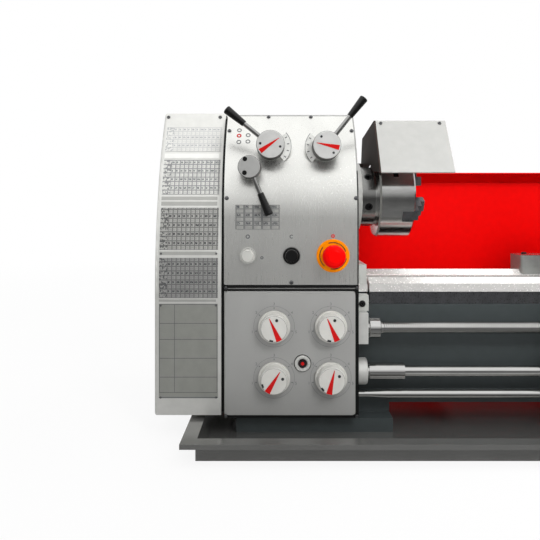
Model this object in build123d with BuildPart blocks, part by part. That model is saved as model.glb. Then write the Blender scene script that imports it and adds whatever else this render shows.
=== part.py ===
from build123d import *
import math
import os

os.makedirs("parts", exist_ok=True)

# A screw-cutting lathe, in millimetres.
# X runs along the bed towards the tailstock, -Y faces the operator, Z is up.
# The origin is the middle of the bench-bolt pattern, on the underside.

# Bed and bench bolts
bed_length = 1490
bed_width = 187
way_height = 264
vee_height = 10
vee_half_base = 12
vee_inset = 18
way_lip = 15
bridge_seam = 3.5
bridge_seam_x = 260
bridge_seam_depth = 50
rail_width = 52
rail_depth = 30
bed_wall = 24
bed_wall_inset = 8
rack_recess = 10
rack_height = 24
bed_flange = 15
web_thickness = 14
web_pitch = 190
web_drop = 62
foot_height = 45
foot_ear_height = 25
foot_span = 1220
foot_bolt_spread = 220
foot_ear_margin = 18
head_bolt_inset = 160
head_foot_length = 280
tail_foot_length = 180
bench_hole_radius = 6.5

# Chip tray and splash guard
tray_sheet = 2.5
tray_height = 35
tray_rim = 22
tray_lip = 8
tray_left_overhang = 37
tray_right_overhang = 40
tray_front = 240
tray_back = 270
splash_sheet = 2
splash_height = 470
splash_fold = 40

# Headstock
swing_radius = 153
head_width = 236
front_reach = 150
head_back = 140
head_top = 580
lean_start = 390
lean_depth = 81.2
panel = 4
panel_gap = 2
panel_foot = 5
panel_corner = 3.5
head_wall = 14
head_floor = 20
head_front_wall = 46
lid = 12
head_toe = 22
head_toe_height = 35

# End cover, on two lift-off hinges behind
cover_width = 117
cover_gap = 5
cover_wall = 3
cover_round = 5
cover_rise = 5
cover_lean_start = 256
cover_lean_depth = 94.5
cover_back = 255
cover_hole_radius = 34
hinge_radius = 6
hinge_pin_radius = 3.5
hinge_length = 24
hinge_inset = 4
hinge_setback = 7
hinge_heights = (130, 290)

# Feed gearbox
gearbox_bottom = 41
gearbox_top = 258
gearbox_border = 6
gearbox_corner = 6
input_boss_radius = 25
input_boss_length = 20
lug_height = 28

# Fits
running_gap = 0.05
seat_gap = 0.02
way_gap = 0.2
clear_gap = 0.4
edge_break = 1
cut_over = 1

# Spindle, cam-lock nose and chuck
spindle_bore = 19
taper_mouth = 22.2
taper_depth = 122
journal_radius = 30
tail_radius = 28
tail_reach = 110
bearing_radius = 50
bearing_width = 26
bearing_boss_radius = 64
bearing_boss_length = 38
bearing_cover_thickness = 19
bearing_cover_radius = 66
nose_gap = 0.5
nose_radius = 58.5
nose_width = 26
spigot_radius = 31.75
spigot_length = 11
cam_count = 6
cam_radius = 7.5
cam_depth = 16
cam_start_angle = 39
chuck_radius = 80
chuck_neck_radius = 56
chuck_neck = 5
chuck_length = 72
chuck_bore = 21
jaw_width = 22
jaw_rest = 22
jaw_length = 52
jaw_depth = 24
jaw_reach = 26
jaw_step = 9
key_socket = 10

# Gears: inside the headstock and the change gears under the end cover
head_module = 3
change_module = 2
bull_teeth = 48
pinion_teeth = 20
reverse_teeth = 24
stud_teeth = 24
idler_teeth = 60
gearbox_teeth = 36
head_gear_width = 26
head_gear_inset = 62
change_gear_width = 14
change_gear_inset = 30
input_angle = -30
stud_angle = 245
idler_angle = 258
gearbox_angle = 245
shaft_radius = 12
stud_radius = 10
idler_pin_radius = 8
gearbox_shaft_radius = 9
quadrant_thickness = 12
quadrant_rim = 13
quadrant_tip_radius = 18

# Belt drive
input_pulley_radius = 60
motor_pulley_radius = 32
pulley_flange = 6
pulley_width = 34
pulley_wall = 4
pulley_inset = 64
belt_thickness = 5
belt_gap = 0.3
motor_y = 185
motor_z = 150
motor_radius = 72
motor_length = 240
motor_plate = 12
motor_plate_inset = 3
motor_plate_top = 330
motor_fin = 5
motor_fin_count = 24

# Levers on the headstock: place from its left face and from its top, hub and arm
speed_hub_radius = 24.5
speed_hub_length = 34
feed_hub_radius = 19.5
feed_hub_length = 32
left_lever_x = 81.4
left_lever_drop = 66.3
left_lever_angle = 141
left_lever_reach = 100
right_lever_x = 179.1
right_lever_drop = 68
right_lever_angle = 51.7
right_lever_reach = 107
feed_lever_x = 45.1
feed_lever_drop = 105.8
feed_lever_angle = -67.4
feed_lever_reach = 90
lever_shaft_radius = 8
lever_shaft_length = 40
arm_radius = 4.2
grip_length = 41
grip_radius = 7.8
grip_neck = 5.5
grip_round = 2.5
stub_radius = 3
stub_length = 12

# Selector dials and sight glass on the gearbox
dial_mid_x = 137.4
dial_pitch_x = 99.4
dial_mid_z = 151
dial_pitch_z = 89.8
dial_skirt_radius = 28
dial_skirt = 6
dial_radius = 24.5
dial_face_radius = 23.5
dial_height = 22
dial_shaft_radius = 6
dial_shaft_length = 26
glass_x = 137.5
glass_z = 131.8
glass_radius = 13.8
glass_window_radius = 8.3

# Push buttons
button_z = 320
start_x = 41.6
jog_x = 118.2
stop_x = 190.8
bezel_radius = 14.5
bezel_height = 5
button_radius = 11
button_stem = 20
button_travel = 4
button_proud = 9
mushroom_radius = 20
mushroom_height = 16
mushroom_stand = 34
stop_travel = 6
stop_collar_radius = 15

# Leadscrew, feed rod and control rod
rod_y = -120
leadscrew_radius = 11
leadscrew_z = 188
leadscrew_collar_radius = 18.5
feed_rod_radius = 10
feed_rod_z = 110
feed_sleeve_radius = 15
control_rod_radius = 8
control_rod_z = 69
rod_entry = 24
rod_cover = 18
tail_bracket_width = 40
tail_bracket_inset = 20
keyway_width = 6
keyway_depth = 3.5

# Chuck guard: its corners are measured from its pin
guard_left = 42
guard_width = 136
guard_sheet = 2.5
guard_bend = 6
guard_lip = (-222, -26)
guard_brow = (-157, 78)
guard_rear = (3, 62)
guard_heel = (19, 10)
guard_hip = (-26, -10)
guard_arch_radius = 64
guard_ear_radius = 16
guard_pin_radius = 8
guard_pin_y = 100
guard_pin_drop = 86
guard_boss_radius = 18
guard_boss = 24

# Carriage
carriage_mid = 770
saddle_length = 320
saddle_bridge = 130
saddle_wing = 62
saddle_height = 40
saddle_overhang = 30
dovetail_width = 110
dovetail_height = 16
dovetail_slant = 9
apron_thickness = 70
apron_bottom = 86
apron_length = 290
rod_clear = 1
wheel_radius = 70
wheel_rim = 8
wheel_offset = -85
wheel_z = 190
half_nut_offset = 70
half_nut_z = 205
cross_slide_length = 240
cross_slide_height = 30
cross_screw_radius = 8
crank_radius = 48
compound_radius = 50
compound_height = 22
top_slide_length = 180
top_slide_width = 78
top_slide_height = 34
post_size = 84
post_height = 62
post_slot = 20
post_slot_depth = 17
post_pin_radius = 11

# Tailstock
tailstock_mid = 1350
tailstock_length = 190
tailstock_base = 40
quill_radius = 26
quill_length = 215
quill_nose = 50
quill_socket = 11.9
tail_wheel_radius = 65
clamp_radius = 9

# Places worked out from the sizes above
head_left = -foot_span / 2 - head_bolt_inset
head_right = head_left + head_width
bed_right = head_left + bed_length
bed_half = bed_width / 2
vee_y = bed_half - vee_inset
vee_tip = way_height + vee_height
spindle_z = vee_tip + swing_radius
panel_front = -front_reach
casting_front = panel_front + panel
casting_top = head_top - lid
cover_top = head_top + cover_rise
guard_pin_z = head_top - guard_pin_drop
nose_left = head_right + bearing_cover_thickness + nose_gap
nose_face = nose_left + nose_width
cover_right = head_left - cover_gap
cover_left = cover_right - cover_width

along_x = (1, 0, 0)
along_y = (0, 1, 0)
along_z = (0, 0, 1)
to_front = (0, -1, 0)


def save(piece, name):
    """Label a finished piece and write it to its own file."""
    piece.part.label = name
    export_step(piece.part, f"parts/{name}.step")


def block(low, high, mode=Mode.ADD):
    """A rectangular block between two opposite corners."""
    middle = [(a + b) / 2 for a, b in zip(low, high)]
    size = [b - a for a, b in zip(low, high)]
    with Locations(tuple(middle)):
        Box(*size, mode=mode)


def turn(origin, direction, corners, mode=Mode.ADD):
    """Revolve (distance, radius) corners about an axis through the origin given."""
    normal = to_front if abs(direction[0]) > 1e-6 else along_x
    plane = Plane(origin=origin, x_dir=direction, z_dir=normal)
    with BuildSketch(plane) as half:
        with BuildLine():
            Polyline(*corners, close=True)
        make_face()
    revolve(half.sketch, axis=Axis(origin, direction), mode=mode)


def rod(origin, direction, start, end, radius, mode=Mode.ADD):
    """A plain round bar or, when subtracted, a round hole."""
    turn(origin, direction, [(start, 0), (end, 0), (end, radius), (start, radius)], mode)


def prism(plane, corners, depth, mode=Mode.ADD):
    """A straight prism with the corners given on a plane."""
    with BuildSketch(plane) as section:
        with BuildLine():
            Polyline(*corners, close=True)
        make_face()
    extrude(section.sketch, amount=depth, mode=mode)


def arc_radius(rise, depth):
    """Radius of the arc that leaves an upright face and leans back by a depth over a rise."""
    return (rise**2 + depth**2) / (2 * depth)


lean_radius = arc_radius(head_top - lean_start, lean_depth)
cover_lean_radius = arc_radius(cover_top - cover_lean_start, cover_lean_depth)


def lean_y(z, inset=0.0, start=lean_start, radius=lean_radius):
    """Front of the leaning face at a height, set back by an inset."""
    rise = max(0.0, z - start)
    return panel_front + radius - math.sqrt((radius - inset) ** 2 - rise**2)


def lean_section(x, inset, bottom, top, back, start, radius):
    """Side outline with an upright front that curves back above the start height."""
    middle = (start + top) / 2
    front = panel_front + inset
    with BuildSketch(Plane.YZ.offset(x)) as outline:
        with BuildLine():
            Line((front, bottom), (front, start))
            ThreePointArc(
                (front, start),
                (lean_y(middle, inset, start, radius), middle),
                (lean_y(top, inset, start, radius), top),
            )
            Polyline((lean_y(top, inset, start, radius), top), (back, top), (back, bottom), (front, bottom))
        make_face()
    return outline.sketch


def gear_outline(plane, teeth, module, phase):
    """Outline of a spur gear with straight-sided teeth and a little backlash."""
    step = 2 * math.pi / teeth
    root = module * teeth / 2 - 1.15 * module
    tip = module * teeth / 2 + 0.95 * module
    tooth = [(root, -0.30), (tip, -0.13), (tip, 0.13), (root, 0.30)]
    corners = []
    for index in range(teeth):
        for radius, share in tooth:
            angle = math.radians(phase) + (index + share) * step
            corners.append((radius * math.cos(angle), radius * math.sin(angle)))
    with BuildSketch(plane) as outline:
        with BuildLine():
            Polyline(*corners, close=True)
        make_face()
    return outline.sketch


def gear(origin, teeth, module, width, phase):
    """A spur gear blank across X, starting at the origin and as wide as given."""
    plane = Plane(origin=origin, x_dir=along_y, z_dir=along_x)
    extrude(gear_outline(plane, teeth, module, phase), amount=width)


def mesh_phase(driver_teeth, driver_phase, teeth, bearing):
    """Phase, in degrees, that puts a gear's gap on the tooth of its driver along a bearing."""
    return bearing + 180 - 180 / teeth + (bearing - driver_phase) * driver_teeth / teeth


def polar(y, z, distance, angle):
    """The point at a distance and angle from (y, z), with the angle taken from +Y towards +Z."""
    return y + distance * math.cos(math.radians(angle)), z + distance * math.sin(math.radians(angle))


# Gear centres: the pinion behind the spindle, the stud below it, then the idler and the gearbox's input
spindle_at = (0, spindle_z)
input_at = polar(0, spindle_z, head_module * (bull_teeth + pinion_teeth) / 2, input_angle)
stud_at = polar(0, spindle_z, head_module * (bull_teeth + reverse_teeth) / 2, stud_angle)
idler_at = polar(*stud_at, change_module * (stud_teeth + idler_teeth) / 2, idler_angle)
gearbox_at = polar(*idler_at, change_module * (idler_teeth + gearbox_teeth) / 2, gearbox_angle)
pinion_phase = mesh_phase(bull_teeth, 0, pinion_teeth, input_angle)
reverse_phase = mesh_phase(bull_teeth, 0, reverse_teeth, stud_angle)
stud_phase = 0
idler_phase = mesh_phase(stud_teeth, stud_phase, idler_teeth, idler_angle)
gearbox_phase = mesh_phase(idler_teeth, idler_phase, gearbox_teeth, gearbox_angle)

# Chip tray: folded pan with a flat rim and a turned-down edge
tray_left = head_left - tray_left_overhang
tray_right = bed_right + tray_right_overhang
tray_length = tray_right - tray_left
tray_depth = tray_front + tray_back
tray_middle = ((tray_left + tray_right) / 2, (tray_back - tray_front) / 2)
with BuildPart() as chip_tray:
    with BuildSketch():
        with Locations(tray_middle):
            Rectangle(tray_length, tray_depth)
    extrude(amount=tray_height)
    with BuildSketch(Plane.XY.offset(tray_height)):
        with Locations(tray_middle):
            Rectangle(tray_length + 2 * tray_rim, tray_depth + 2 * tray_rim)
    extrude(amount=-tray_sheet)
    with BuildSketch(Plane.XY.offset(tray_height)):
        with Locations(tray_middle):
            Rectangle(tray_length + 2 * tray_rim, tray_depth + 2 * tray_rim)
            Rectangle(
                tray_length + 2 * (tray_rim - tray_sheet),
                tray_depth + 2 * (tray_rim - tray_sheet),
                mode=Mode.SUBTRACT,
            )
    extrude(amount=-tray_lip)
    with BuildSketch(Plane.XY.offset(tray_height)):
        with Locations(tray_middle):
            Rectangle(tray_length - 2 * tray_sheet, tray_depth - 2 * tray_sheet)
    extrude(amount=tray_sheet - tray_height, mode=Mode.SUBTRACT)
    with GridLocations(foot_span, foot_bolt_spread, 2, 2):
        Hole(bench_hole_radius)
save(chip_tray, "chip_tray")

# Splash guard: red sheet behind the bed, standing in the tray, folded forward at the top
splash_left = head_right + clear_gap
splash_right = bed_right
splash_y = tray_back - tray_sheet
with BuildPart() as splash_guard:
    section = [
        (splash_y, tray_sheet),
        (splash_y, splash_height),
        (splash_y - splash_fold, splash_height + splash_fold / 2),
        (splash_y - splash_fold, splash_height + splash_fold / 2 - splash_sheet),
        (splash_y - splash_sheet, splash_height - splash_sheet),
        (splash_y - splash_sheet, tray_sheet + splash_sheet),
        (splash_y - splash_fold, tray_sheet + splash_sheet),
        (splash_y - splash_fold, tray_sheet),
    ]
    prism(Plane.YZ.offset(splash_left), section, splash_right - splash_left)
save(splash_guard, "splash_guard")

# Bed: two vee-topped rails on walls, joined by cross webs, on two broad feet
rail_inner = bed_half - rail_width
wall_outer = bed_half - bed_wall_inset
wall_inner = wall_outer - bed_wall
rack_top = way_height - way_lip
rack_bottom = rack_top - rack_height
flange_top = foot_height + bed_flange
rail_section = [
    (-bed_half, foot_height),
    (-bed_half, flange_top),
    (-wall_outer, flange_top + bed_wall_inset),
    (-wall_outer, rack_bottom),
    (-wall_outer + rack_recess, rack_bottom),
    (-wall_outer + rack_recess, rack_top),
    (-bed_half, rack_top),
    (-bed_half, way_height),
    (-vee_y - vee_half_base, way_height),
    (-vee_y, vee_tip),
    (-vee_y + vee_half_base, way_height),
    (-rail_inner, way_height),
    (-rail_inner, way_height - rail_depth),
    (-wall_inner, way_height - rail_depth - (wall_inner - rail_inner)),
    (-wall_inner, foot_height),
]
web_count = int(bed_length // web_pitch) + 1
web_step = (bed_length - web_thickness) / (web_count - 1)
web_top = way_height - web_drop
ear_reach = foot_bolt_spread / 2 + foot_ear_margin
foot_spans = [
    (-foot_span / 2 - head_foot_length / 2, head_foot_length),
    (foot_span / 2 - tail_foot_length / 2, tail_foot_length),
]
pad_inner = wall_outer
pad_length = 90
pad_bottom = 100
with BuildPart() as bed:
    prism(Plane.YZ.offset(head_left), rail_section, bed_length)
    mirror(about=Plane.XZ)
    for index in range(web_count):
        web_left = head_left + index * web_step
        block((web_left, -wall_inner, foot_height), (web_left + web_thickness, wall_inner, web_top))
    for foot_left, foot_length in foot_spans:
        block((foot_left, -bed_half, tray_sheet), (foot_left + foot_length, bed_half, foot_height))
        block(
            (foot_left, -ear_reach, tray_sheet),
            (foot_left + foot_length, ear_reach, tray_sheet + foot_ear_height),
        )
    block((head_left, pad_inner, pad_bottom), (head_left + pad_length, bed_half, rack_bottom))
    seam_left = head_left + bridge_seam_x
    block(
        (seam_left, -bed_half, vee_tip - bridge_seam_depth),
        (seam_left + bridge_seam, bed_half, vee_tip),
        Mode.SUBTRACT,
    )
    with GridLocations(foot_span, foot_bolt_spread, 2, 2):
        Hole(bench_hole_radius)
save(bed, "bed")

# Headstock casting: leaning front, open top, bosses for bearings, shafts, levers and the guard pin
lever_places = [
    (head_left + left_lever_x, head_top - left_lever_drop, speed_hub_radius),
    (head_left + right_lever_x, head_top - right_lever_drop, speed_hub_radius),
    (head_left + feed_lever_x, head_top - feed_lever_drop, feed_hub_radius),
]
button_places = [(start_x, button_radius), (jog_x, button_radius), (stop_x, button_radius)]
button_hole_end = panel_front + button_stem + button_travel + stop_travel
cavity_front = panel_front + head_front_wall
cavity_lean = lean_y(casting_top, panel) + head_wall * 2
cavity_floor = way_height + head_floor
cavity = [
    (cavity_front, cavity_floor),
    (cavity_front, lean_start + head_front_wall),
    (cavity_lean, casting_top),
    (head_back - head_wall, casting_top),
    (head_back - head_wall, cavity_floor),
]
shaft_boss = 1.8


def boss_face(z, radius):
    """Front of a round lever boss, just proud of the leaning panel at its lower edge."""
    return lean_y(z - radius) - panel_gap


def vee_cut(left, length):
    """Take the two vee ways, with their clearance, out of a casting that sits on the bed."""
    reach = vee_half_base + way_gap
    for side in (-1, 1):
        corners = [
            (side * vee_y - reach, way_height),
            (side * vee_y, vee_tip + way_gap),
            (side * vee_y + reach, way_height),
        ]
        prism(Plane.YZ.offset(left), corners, length, Mode.SUBTRACT)


with BuildPart() as headstock_casting:
    outline = lean_section(head_left, panel, way_height, casting_top, head_back, lean_start, lean_radius)
    extrude(outline, amount=head_width)
    prism(
        Plane.YZ.offset(head_left + head_wall),
        cavity,
        head_width - 2 * head_wall,
        Mode.SUBTRACT,
    )
    block(
        (head_right, -bed_half, way_height),
        (head_right + head_toe, bed_half, way_height + head_toe_height),
    )
    spindle_line = (0, 0, spindle_z)
    rod(spindle_line, along_x, head_left, head_left + bearing_boss_length, bearing_boss_radius)
    rod(spindle_line, along_x, head_right - bearing_boss_length, head_right, bearing_boss_radius)
    rod((0, *input_at), along_x, head_left, head_left + bearing_boss_length, shaft_boss * shaft_radius)
    rod((0, *input_at), along_x, head_right - bearing_boss_length, head_right, shaft_boss * shaft_radius)
    rod((0, *stud_at), along_x, head_left, head_left + bearing_boss_length, shaft_boss * stud_radius)
    guard_line = (0, guard_pin_y, guard_pin_z)
    rod(guard_line, along_x, head_right, head_right + guard_boss, guard_boss_radius)
    for x, z, radius in lever_places:
        rod((x, 0, z), along_y, boss_face(z, radius), casting_front + lever_shaft_length, radius)
    rod(spindle_line, along_x, head_left, head_left + bearing_width, bearing_radius, Mode.SUBTRACT)
    rod(spindle_line, along_x, head_right - bearing_width, head_right, bearing_radius, Mode.SUBTRACT)
    rod(spindle_line, along_x, head_left, head_right, journal_radius + panel, Mode.SUBTRACT)
    shaft_fit = shaft_radius + running_gap
    rod((0, *input_at), along_x, head_left, head_right - head_wall / 2, shaft_fit, Mode.SUBTRACT)
    rod(
        (0, *stud_at),
        along_x,
        head_left,
        head_left + bearing_boss_length,
        stud_radius + running_gap,
        Mode.SUBTRACT,
    )
    rod(
        guard_line,
        along_x,
        head_right - head_wall,
        head_right + guard_boss,
        guard_pin_radius + running_gap,
        Mode.SUBTRACT,
    )
    for x, z, radius in lever_places:
        face = boss_face(z, radius)
        rod(
            (x, 0, z),
            along_y,
            face,
            face + lever_shaft_length + panel_gap,
            lever_shaft_radius + running_gap,
            Mode.SUBTRACT,
        )
    for x, radius in button_places:
        rod(
            (head_left + x, 0, button_z),
            along_y,
            casting_front,
            button_hole_end,
            radius + running_gap,
            Mode.SUBTRACT,
        )
    vee_cut(head_left, head_width + head_toe)
save(headstock_casting, "headstock_casting")

# Headstock front panel: bent sheet that follows the lean, with the button collars on it
panel_bottom = way_height + panel_foot
with BuildPart() as headstock_panel:
    outer = lean_section(head_left, 0, panel_bottom, head_top, 0, lean_start, lean_radius)
    extrude(outer, amount=head_width)
    inner = lean_section(head_left, panel, panel_bottom, head_top, 0, lean_start, lean_radius)
    extrude(inner, amount=head_width, mode=Mode.SUBTRACT)
    fillet(headstock_panel.edges().filter_by(Axis.Y).group_by(Axis.Z)[0], panel_corner)
    for x, radius in button_places[:2]:
        rod((head_left + x, 0, button_z), to_front, front_reach, front_reach + bezel_height, bezel_radius)
    rod(
        (head_left + stop_x, 0, button_z),
        to_front,
        front_reach,
        front_reach + 2 * bezel_height,
        stop_collar_radius,
    )
    for x, radius in button_places:
        rod(
            (head_left + x, 0, button_z),
            to_front,
            -casting_front,
            front_reach + 2 * bezel_height,
            radius + running_gap,
            Mode.SUBTRACT,
        )
    for x, z, radius in lever_places:
        rod((x, 0, z), to_front, 0, front_reach, radius + clear_gap, Mode.SUBTRACT)
save(headstock_panel, "headstock_panel")

# Headstock top cover: flat lid behind the panel's upper edge
lid_front_low = lean_y(casting_top, panel + clear_gap)
lid_front_high = lean_y(head_top, panel + clear_gap)
lid_section = [
    (lid_front_low, casting_top),
    (lid_front_high, head_top),
    (head_back, head_top),
    (head_back, casting_top),
]
lid_round = 5
with BuildPart() as headstock_cover:
    prism(Plane.YZ.offset(head_left), lid_section, head_width)
    back_top = headstock_cover.edges().filter_by(Axis.X).group_by(Axis.Z)[-1].sort_by(Axis.Y)[-1]
    fillet(back_top, lid_round)
save(headstock_cover, "headstock_cover")

# Feed gearbox case: closed box on the bed's front, with the input boss and a bolting lug
dial_places = [
    (head_left + dial_mid_x + x * dial_pitch_x / 2, dial_mid_z + z * dial_pitch_z / 2)
    for z in (1, -1)
    for x in (-1, 1)
]
rod_lines = [
    (leadscrew_z, leadscrew_radius),
    (feed_rod_z, feed_rod_radius),
    (control_rod_z, control_rod_radius),
]
gearbox_lip = 5
gearbox_lip_gap = 0.5
dial_hole_end = casting_front + dial_shaft_length
with BuildPart() as gearbox_case:
    block((head_left, casting_front, gearbox_bottom), (head_right, -bed_half, gearbox_top))
    lip_top = way_height - gearbox_lip_gap
    block((head_left, panel_front, lip_top - gearbox_lip), (head_right, -bed_half, lip_top))
    block((head_left, casting_front, gearbox_top), (head_right, -bed_half, lip_top))
    rod((0, *gearbox_at), along_x, head_left - input_boss_length, head_left, input_boss_radius)
    lug_top = gearbox_top - 2 * gearbox_border
    block(
        (head_right, rod_y, lug_top - lug_height),
        (head_right + head_toe, -bed_half, lug_top),
    )
    rod(
        (0, *gearbox_at),
        along_x,
        head_left - input_boss_length,
        head_left + 2 * input_boss_length,
        gearbox_shaft_radius + running_gap,
        Mode.SUBTRACT,
    )
    for z, radius in rod_lines:
        rod(
            (0, rod_y, z),
            along_x,
            head_right - rod_entry - panel_gap,
            head_right,
            radius + running_gap,
            Mode.SUBTRACT,
        )
    for x, z in dial_places:
        rod((x, 0, z), along_y, casting_front, dial_hole_end, dial_shaft_radius + running_gap, Mode.SUBTRACT)
    glass_line = (head_left + glass_x, 0, glass_z)
    rod(glass_line, along_y, casting_front, casting_front + head_wall, glass_window_radius, Mode.SUBTRACT)
save(gearbox_case, "gearbox_case")

# Gearbox front panel: rounded plate with a hole for each dial shaft and the sight glass
panel_left = head_left + panel_gap
panel_width = head_width - panel_gap - gearbox_border
panel_height = gearbox_top - gearbox_bottom
with BuildPart() as gearbox_panel:
    with BuildSketch(Plane.XZ.offset(-casting_front)):
        with Locations((panel_left + panel_width / 2, (gearbox_top + gearbox_bottom) / 2)):
            RectangleRounded(panel_width, panel_height, gearbox_corner)
    extrude(amount=panel)
    for x, z in dial_places:
        rod((x, 0, z), to_front, -casting_front, front_reach, dial_shaft_radius + clear_gap, Mode.SUBTRACT)
    rod(glass_line, to_front, -casting_front, front_reach, glass_window_radius, Mode.SUBTRACT)
save(gearbox_panel, "gearbox_panel")

# Oil sight glass: screwed-in bezel with a sunk round window
glass_flange = 4
glass_sink = 2
with BuildPart() as sight_glass:
    turn(
        glass_line,
        to_front,
        [
            (-casting_front - head_wall, 0),
            (front_reach + glass_flange - glass_sink, 0),
            (front_reach + glass_flange - glass_sink, glass_window_radius),
            (front_reach + glass_flange, glass_window_radius + edge_break),
            (front_reach + glass_flange, glass_radius - edge_break),
            (front_reach + glass_flange - edge_break, glass_radius),
            (front_reach, glass_radius),
            (front_reach, glass_window_radius - running_gap),
            (-casting_front - head_wall, glass_window_radius - running_gap),
        ],
    )
save(sight_glass, "sight_glass")

# Spindle bearings: one outer ring block in each end wall of the headstock
with BuildPart() as spindle_bearings:
    for left in (head_left, head_right - bearing_width):
        turn(
            spindle_line,
            along_x,
            [
                (left, journal_radius + running_gap),
                (left + bearing_width, journal_radius + running_gap),
                (left + bearing_width, bearing_radius - seat_gap),
                (left, bearing_radius - seat_gap),
            ],
        )
save(spindle_bearings, "spindle_bearings")

# Bearing covers on the right: round for the spindle, square for the leadscrew, collar for the feed rod
flange_half_width = 23
flange_half_height = 27
flange_rise = 2.5
flange_middle = leadscrew_z + flange_rise
collar_radius = 23.5
collar_edge = 2
with BuildPart() as bearing_covers:
    rod(spindle_line, along_x, head_right, head_right + bearing_cover_thickness, bearing_cover_radius)
    rod(
        spindle_line,
        along_x,
        head_right,
        head_right + bearing_cover_thickness,
        journal_radius + clear_gap,
        Mode.SUBTRACT,
    )
    block(
        (head_right, rod_y - flange_half_width, flange_middle - flange_half_height),
        (head_right + rod_cover, rod_y + flange_half_width, flange_middle + flange_half_height),
    )
    collar_end = head_right + rod_cover
    turn(
        (0, rod_y, feed_rod_z),
        along_x,
        [
            (head_right, 0),
            (collar_end, 0),
            (collar_end, collar_radius - collar_edge),
            (collar_end - collar_edge, collar_radius),
            (head_right, collar_radius),
        ],
    )
    for z, radius in rod_lines[:2]:
        rod(
            (0, rod_y, z),
            along_x,
            head_right,
            head_right + rod_cover,
            radius + running_gap,
            Mode.SUBTRACT,
        )
save(bearing_covers, "bearing_covers")

# Tail bracket: carries the right ends of the three rods
bracket_right = bed_right - tail_bracket_inset
bracket_left = bracket_right - tail_bracket_width
bracket_round = 8
with BuildPart() as tail_bracket:
    bracket_bottom = flange_top + bed_wall_inset
    block((bracket_left, casting_front, bracket_bottom), (bracket_right, -wall_outer, rack_bottom - panel))
    front_edges = tail_bracket.edges().filter_by(Axis.X).group_by(Axis.Y)[0]
    fillet(front_edges, bracket_round)
    block(
        (bracket_left, casting_front + bracket_round, control_rod_z - collar_radius / 2),
        (bracket_right, -bed_half - panel, flange_top + 2 * bracket_round),
    )
    for z, radius in rod_lines:
        rod((0, rod_y, z), along_x, bracket_left, bracket_right, radius + running_gap, Mode.SUBTRACT)
save(tail_bracket, "tail_bracket")

# Quadrant: arm clamped round the gearbox's input boss, with the pin of the idler gear
change_left = head_left - change_gear_inset - change_gear_width
with BuildPart() as quadrant:
    with BuildSketch(Plane.YZ.offset(head_left - quadrant_thickness)):
        with Locations(gearbox_at):
            Circle(input_boss_radius + quadrant_rim)
        with Locations(idler_at):
            Circle(quadrant_tip_radius)
        make_hull()
        with Locations(gearbox_at):
            Circle(input_boss_radius + seat_gap, mode=Mode.SUBTRACT)
    extrude(amount=quadrant_thickness)
    rod((0, *idler_at), along_x, change_left - panel_gap, head_left - quadrant_thickness, idler_pin_radius)
save(quadrant, "quadrant")

# Drive belt: flat loop round the two pulleys
belt_left = head_left - pulley_inset - pulley_width + pulley_wall + clear_gap
belt_width = pulley_width - 2 * (pulley_wall + clear_gap)
motor_at = (motor_y, motor_z)
pulley_places = [(input_at, input_pulley_radius), (motor_at, motor_pulley_radius)]


def belt_loop(offset):
    """Outline of the belt loop at an offset from the pulley rims."""
    with BuildSketch(Plane.YZ.offset(belt_left)) as loop:
        for place, radius in pulley_places:
            with Locations(place):
                Circle(radius + offset)
        make_hull()
    return loop.sketch


with BuildPart() as drive_belt:
    extrude(belt_loop(belt_gap + belt_thickness), amount=belt_width)
    extrude(belt_loop(belt_gap), amount=belt_width, mode=Mode.SUBTRACT)
save(drive_belt, "drive_belt")

# Motor on its plate behind the bed, with the fixed halves of the cover's hinges
plate_left = head_left - motor_plate_inset
plate_right = plate_left + motor_plate
plate_back = cover_back + cover_wall / 3
plate_shoulder = way_height - gearbox_border
plate_outline = [
    (bed_half, pad_bottom),
    (bed_half + motor_plate, foot_height + bed_flange),
    (plate_back, foot_height + bed_flange),
    (plate_back, motor_plate_top),
    (plate_back - 4 * motor_plate, motor_plate_top),
    (plate_back - 4 * motor_plate, plate_shoulder),
    (bed_half, plate_shoulder),
]
hinge_x = head_left - hinge_inset
hinge_y = cover_back + hinge_setback
fin_length = 0.6 * motor_length
fin_width = 3
fan_cover_length = 50
box_half = 45
box_height = 40
motor_line = (0, *motor_at)
motor_right = plate_right + motor_length
with BuildPart() as motor:
    prism(Plane.YZ.offset(plate_left), plate_outline, motor_plate)
    block(
        (plate_right, bed_half, pad_bottom),
        (head_left + pad_length, bed_half + motor_plate, rack_bottom),
    )
    rod(motor_line, along_x, plate_right, motor_right - fan_cover_length, motor_radius - motor_fin)
    turn(
        motor_line,
        along_x,
        [
            (motor_right - fan_cover_length, 0),
            (motor_right, 0),
            (motor_right, motor_radius - 2 * motor_fin),
            (motor_right - 2 * motor_fin, motor_radius),
            (motor_right - fan_cover_length, motor_radius),
        ],
    )
    fin_left = plate_right + (motor_length - fan_cover_length - fin_length) / 2
    fin_plane = Plane(origin=(fin_left, *motor_at), x_dir=along_y, z_dir=along_x)
    with BuildSketch(fin_plane):
        with PolarLocations(motor_radius - motor_fin, motor_fin_count):
            Rectangle(2 * motor_fin, fin_width)
    extrude(amount=fin_length)
    box_middle = fin_left + fin_length / 2
    block(
        (box_middle - box_half, motor_y - box_half, motor_z),
        (box_middle + box_half, motor_y + box_half, motor_z + motor_radius + box_height),
    )
    gland_line = (0, motor_y, motor_z + motor_radius + box_height / 2)
    rod(gland_line, along_x, box_middle + box_half, box_middle + box_half + box_height / 2, arm_radius * 2)
    for z in hinge_heights:
        block((plate_left, plate_back - hinge_radius, z), (hinge_x + hinge_radius, hinge_y, z + hinge_length))
        rod((hinge_x, hinge_y, 0), along_z, z, z + hinge_length, hinge_radius)
        rod((hinge_x, hinge_y, 0), along_z, z, z + 2 * hinge_length, hinge_pin_radius)
    rod(motor_line, along_x, plate_left, plate_left + fan_cover_length, shaft_fit, Mode.SUBTRACT)
save(motor, "motor")

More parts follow.
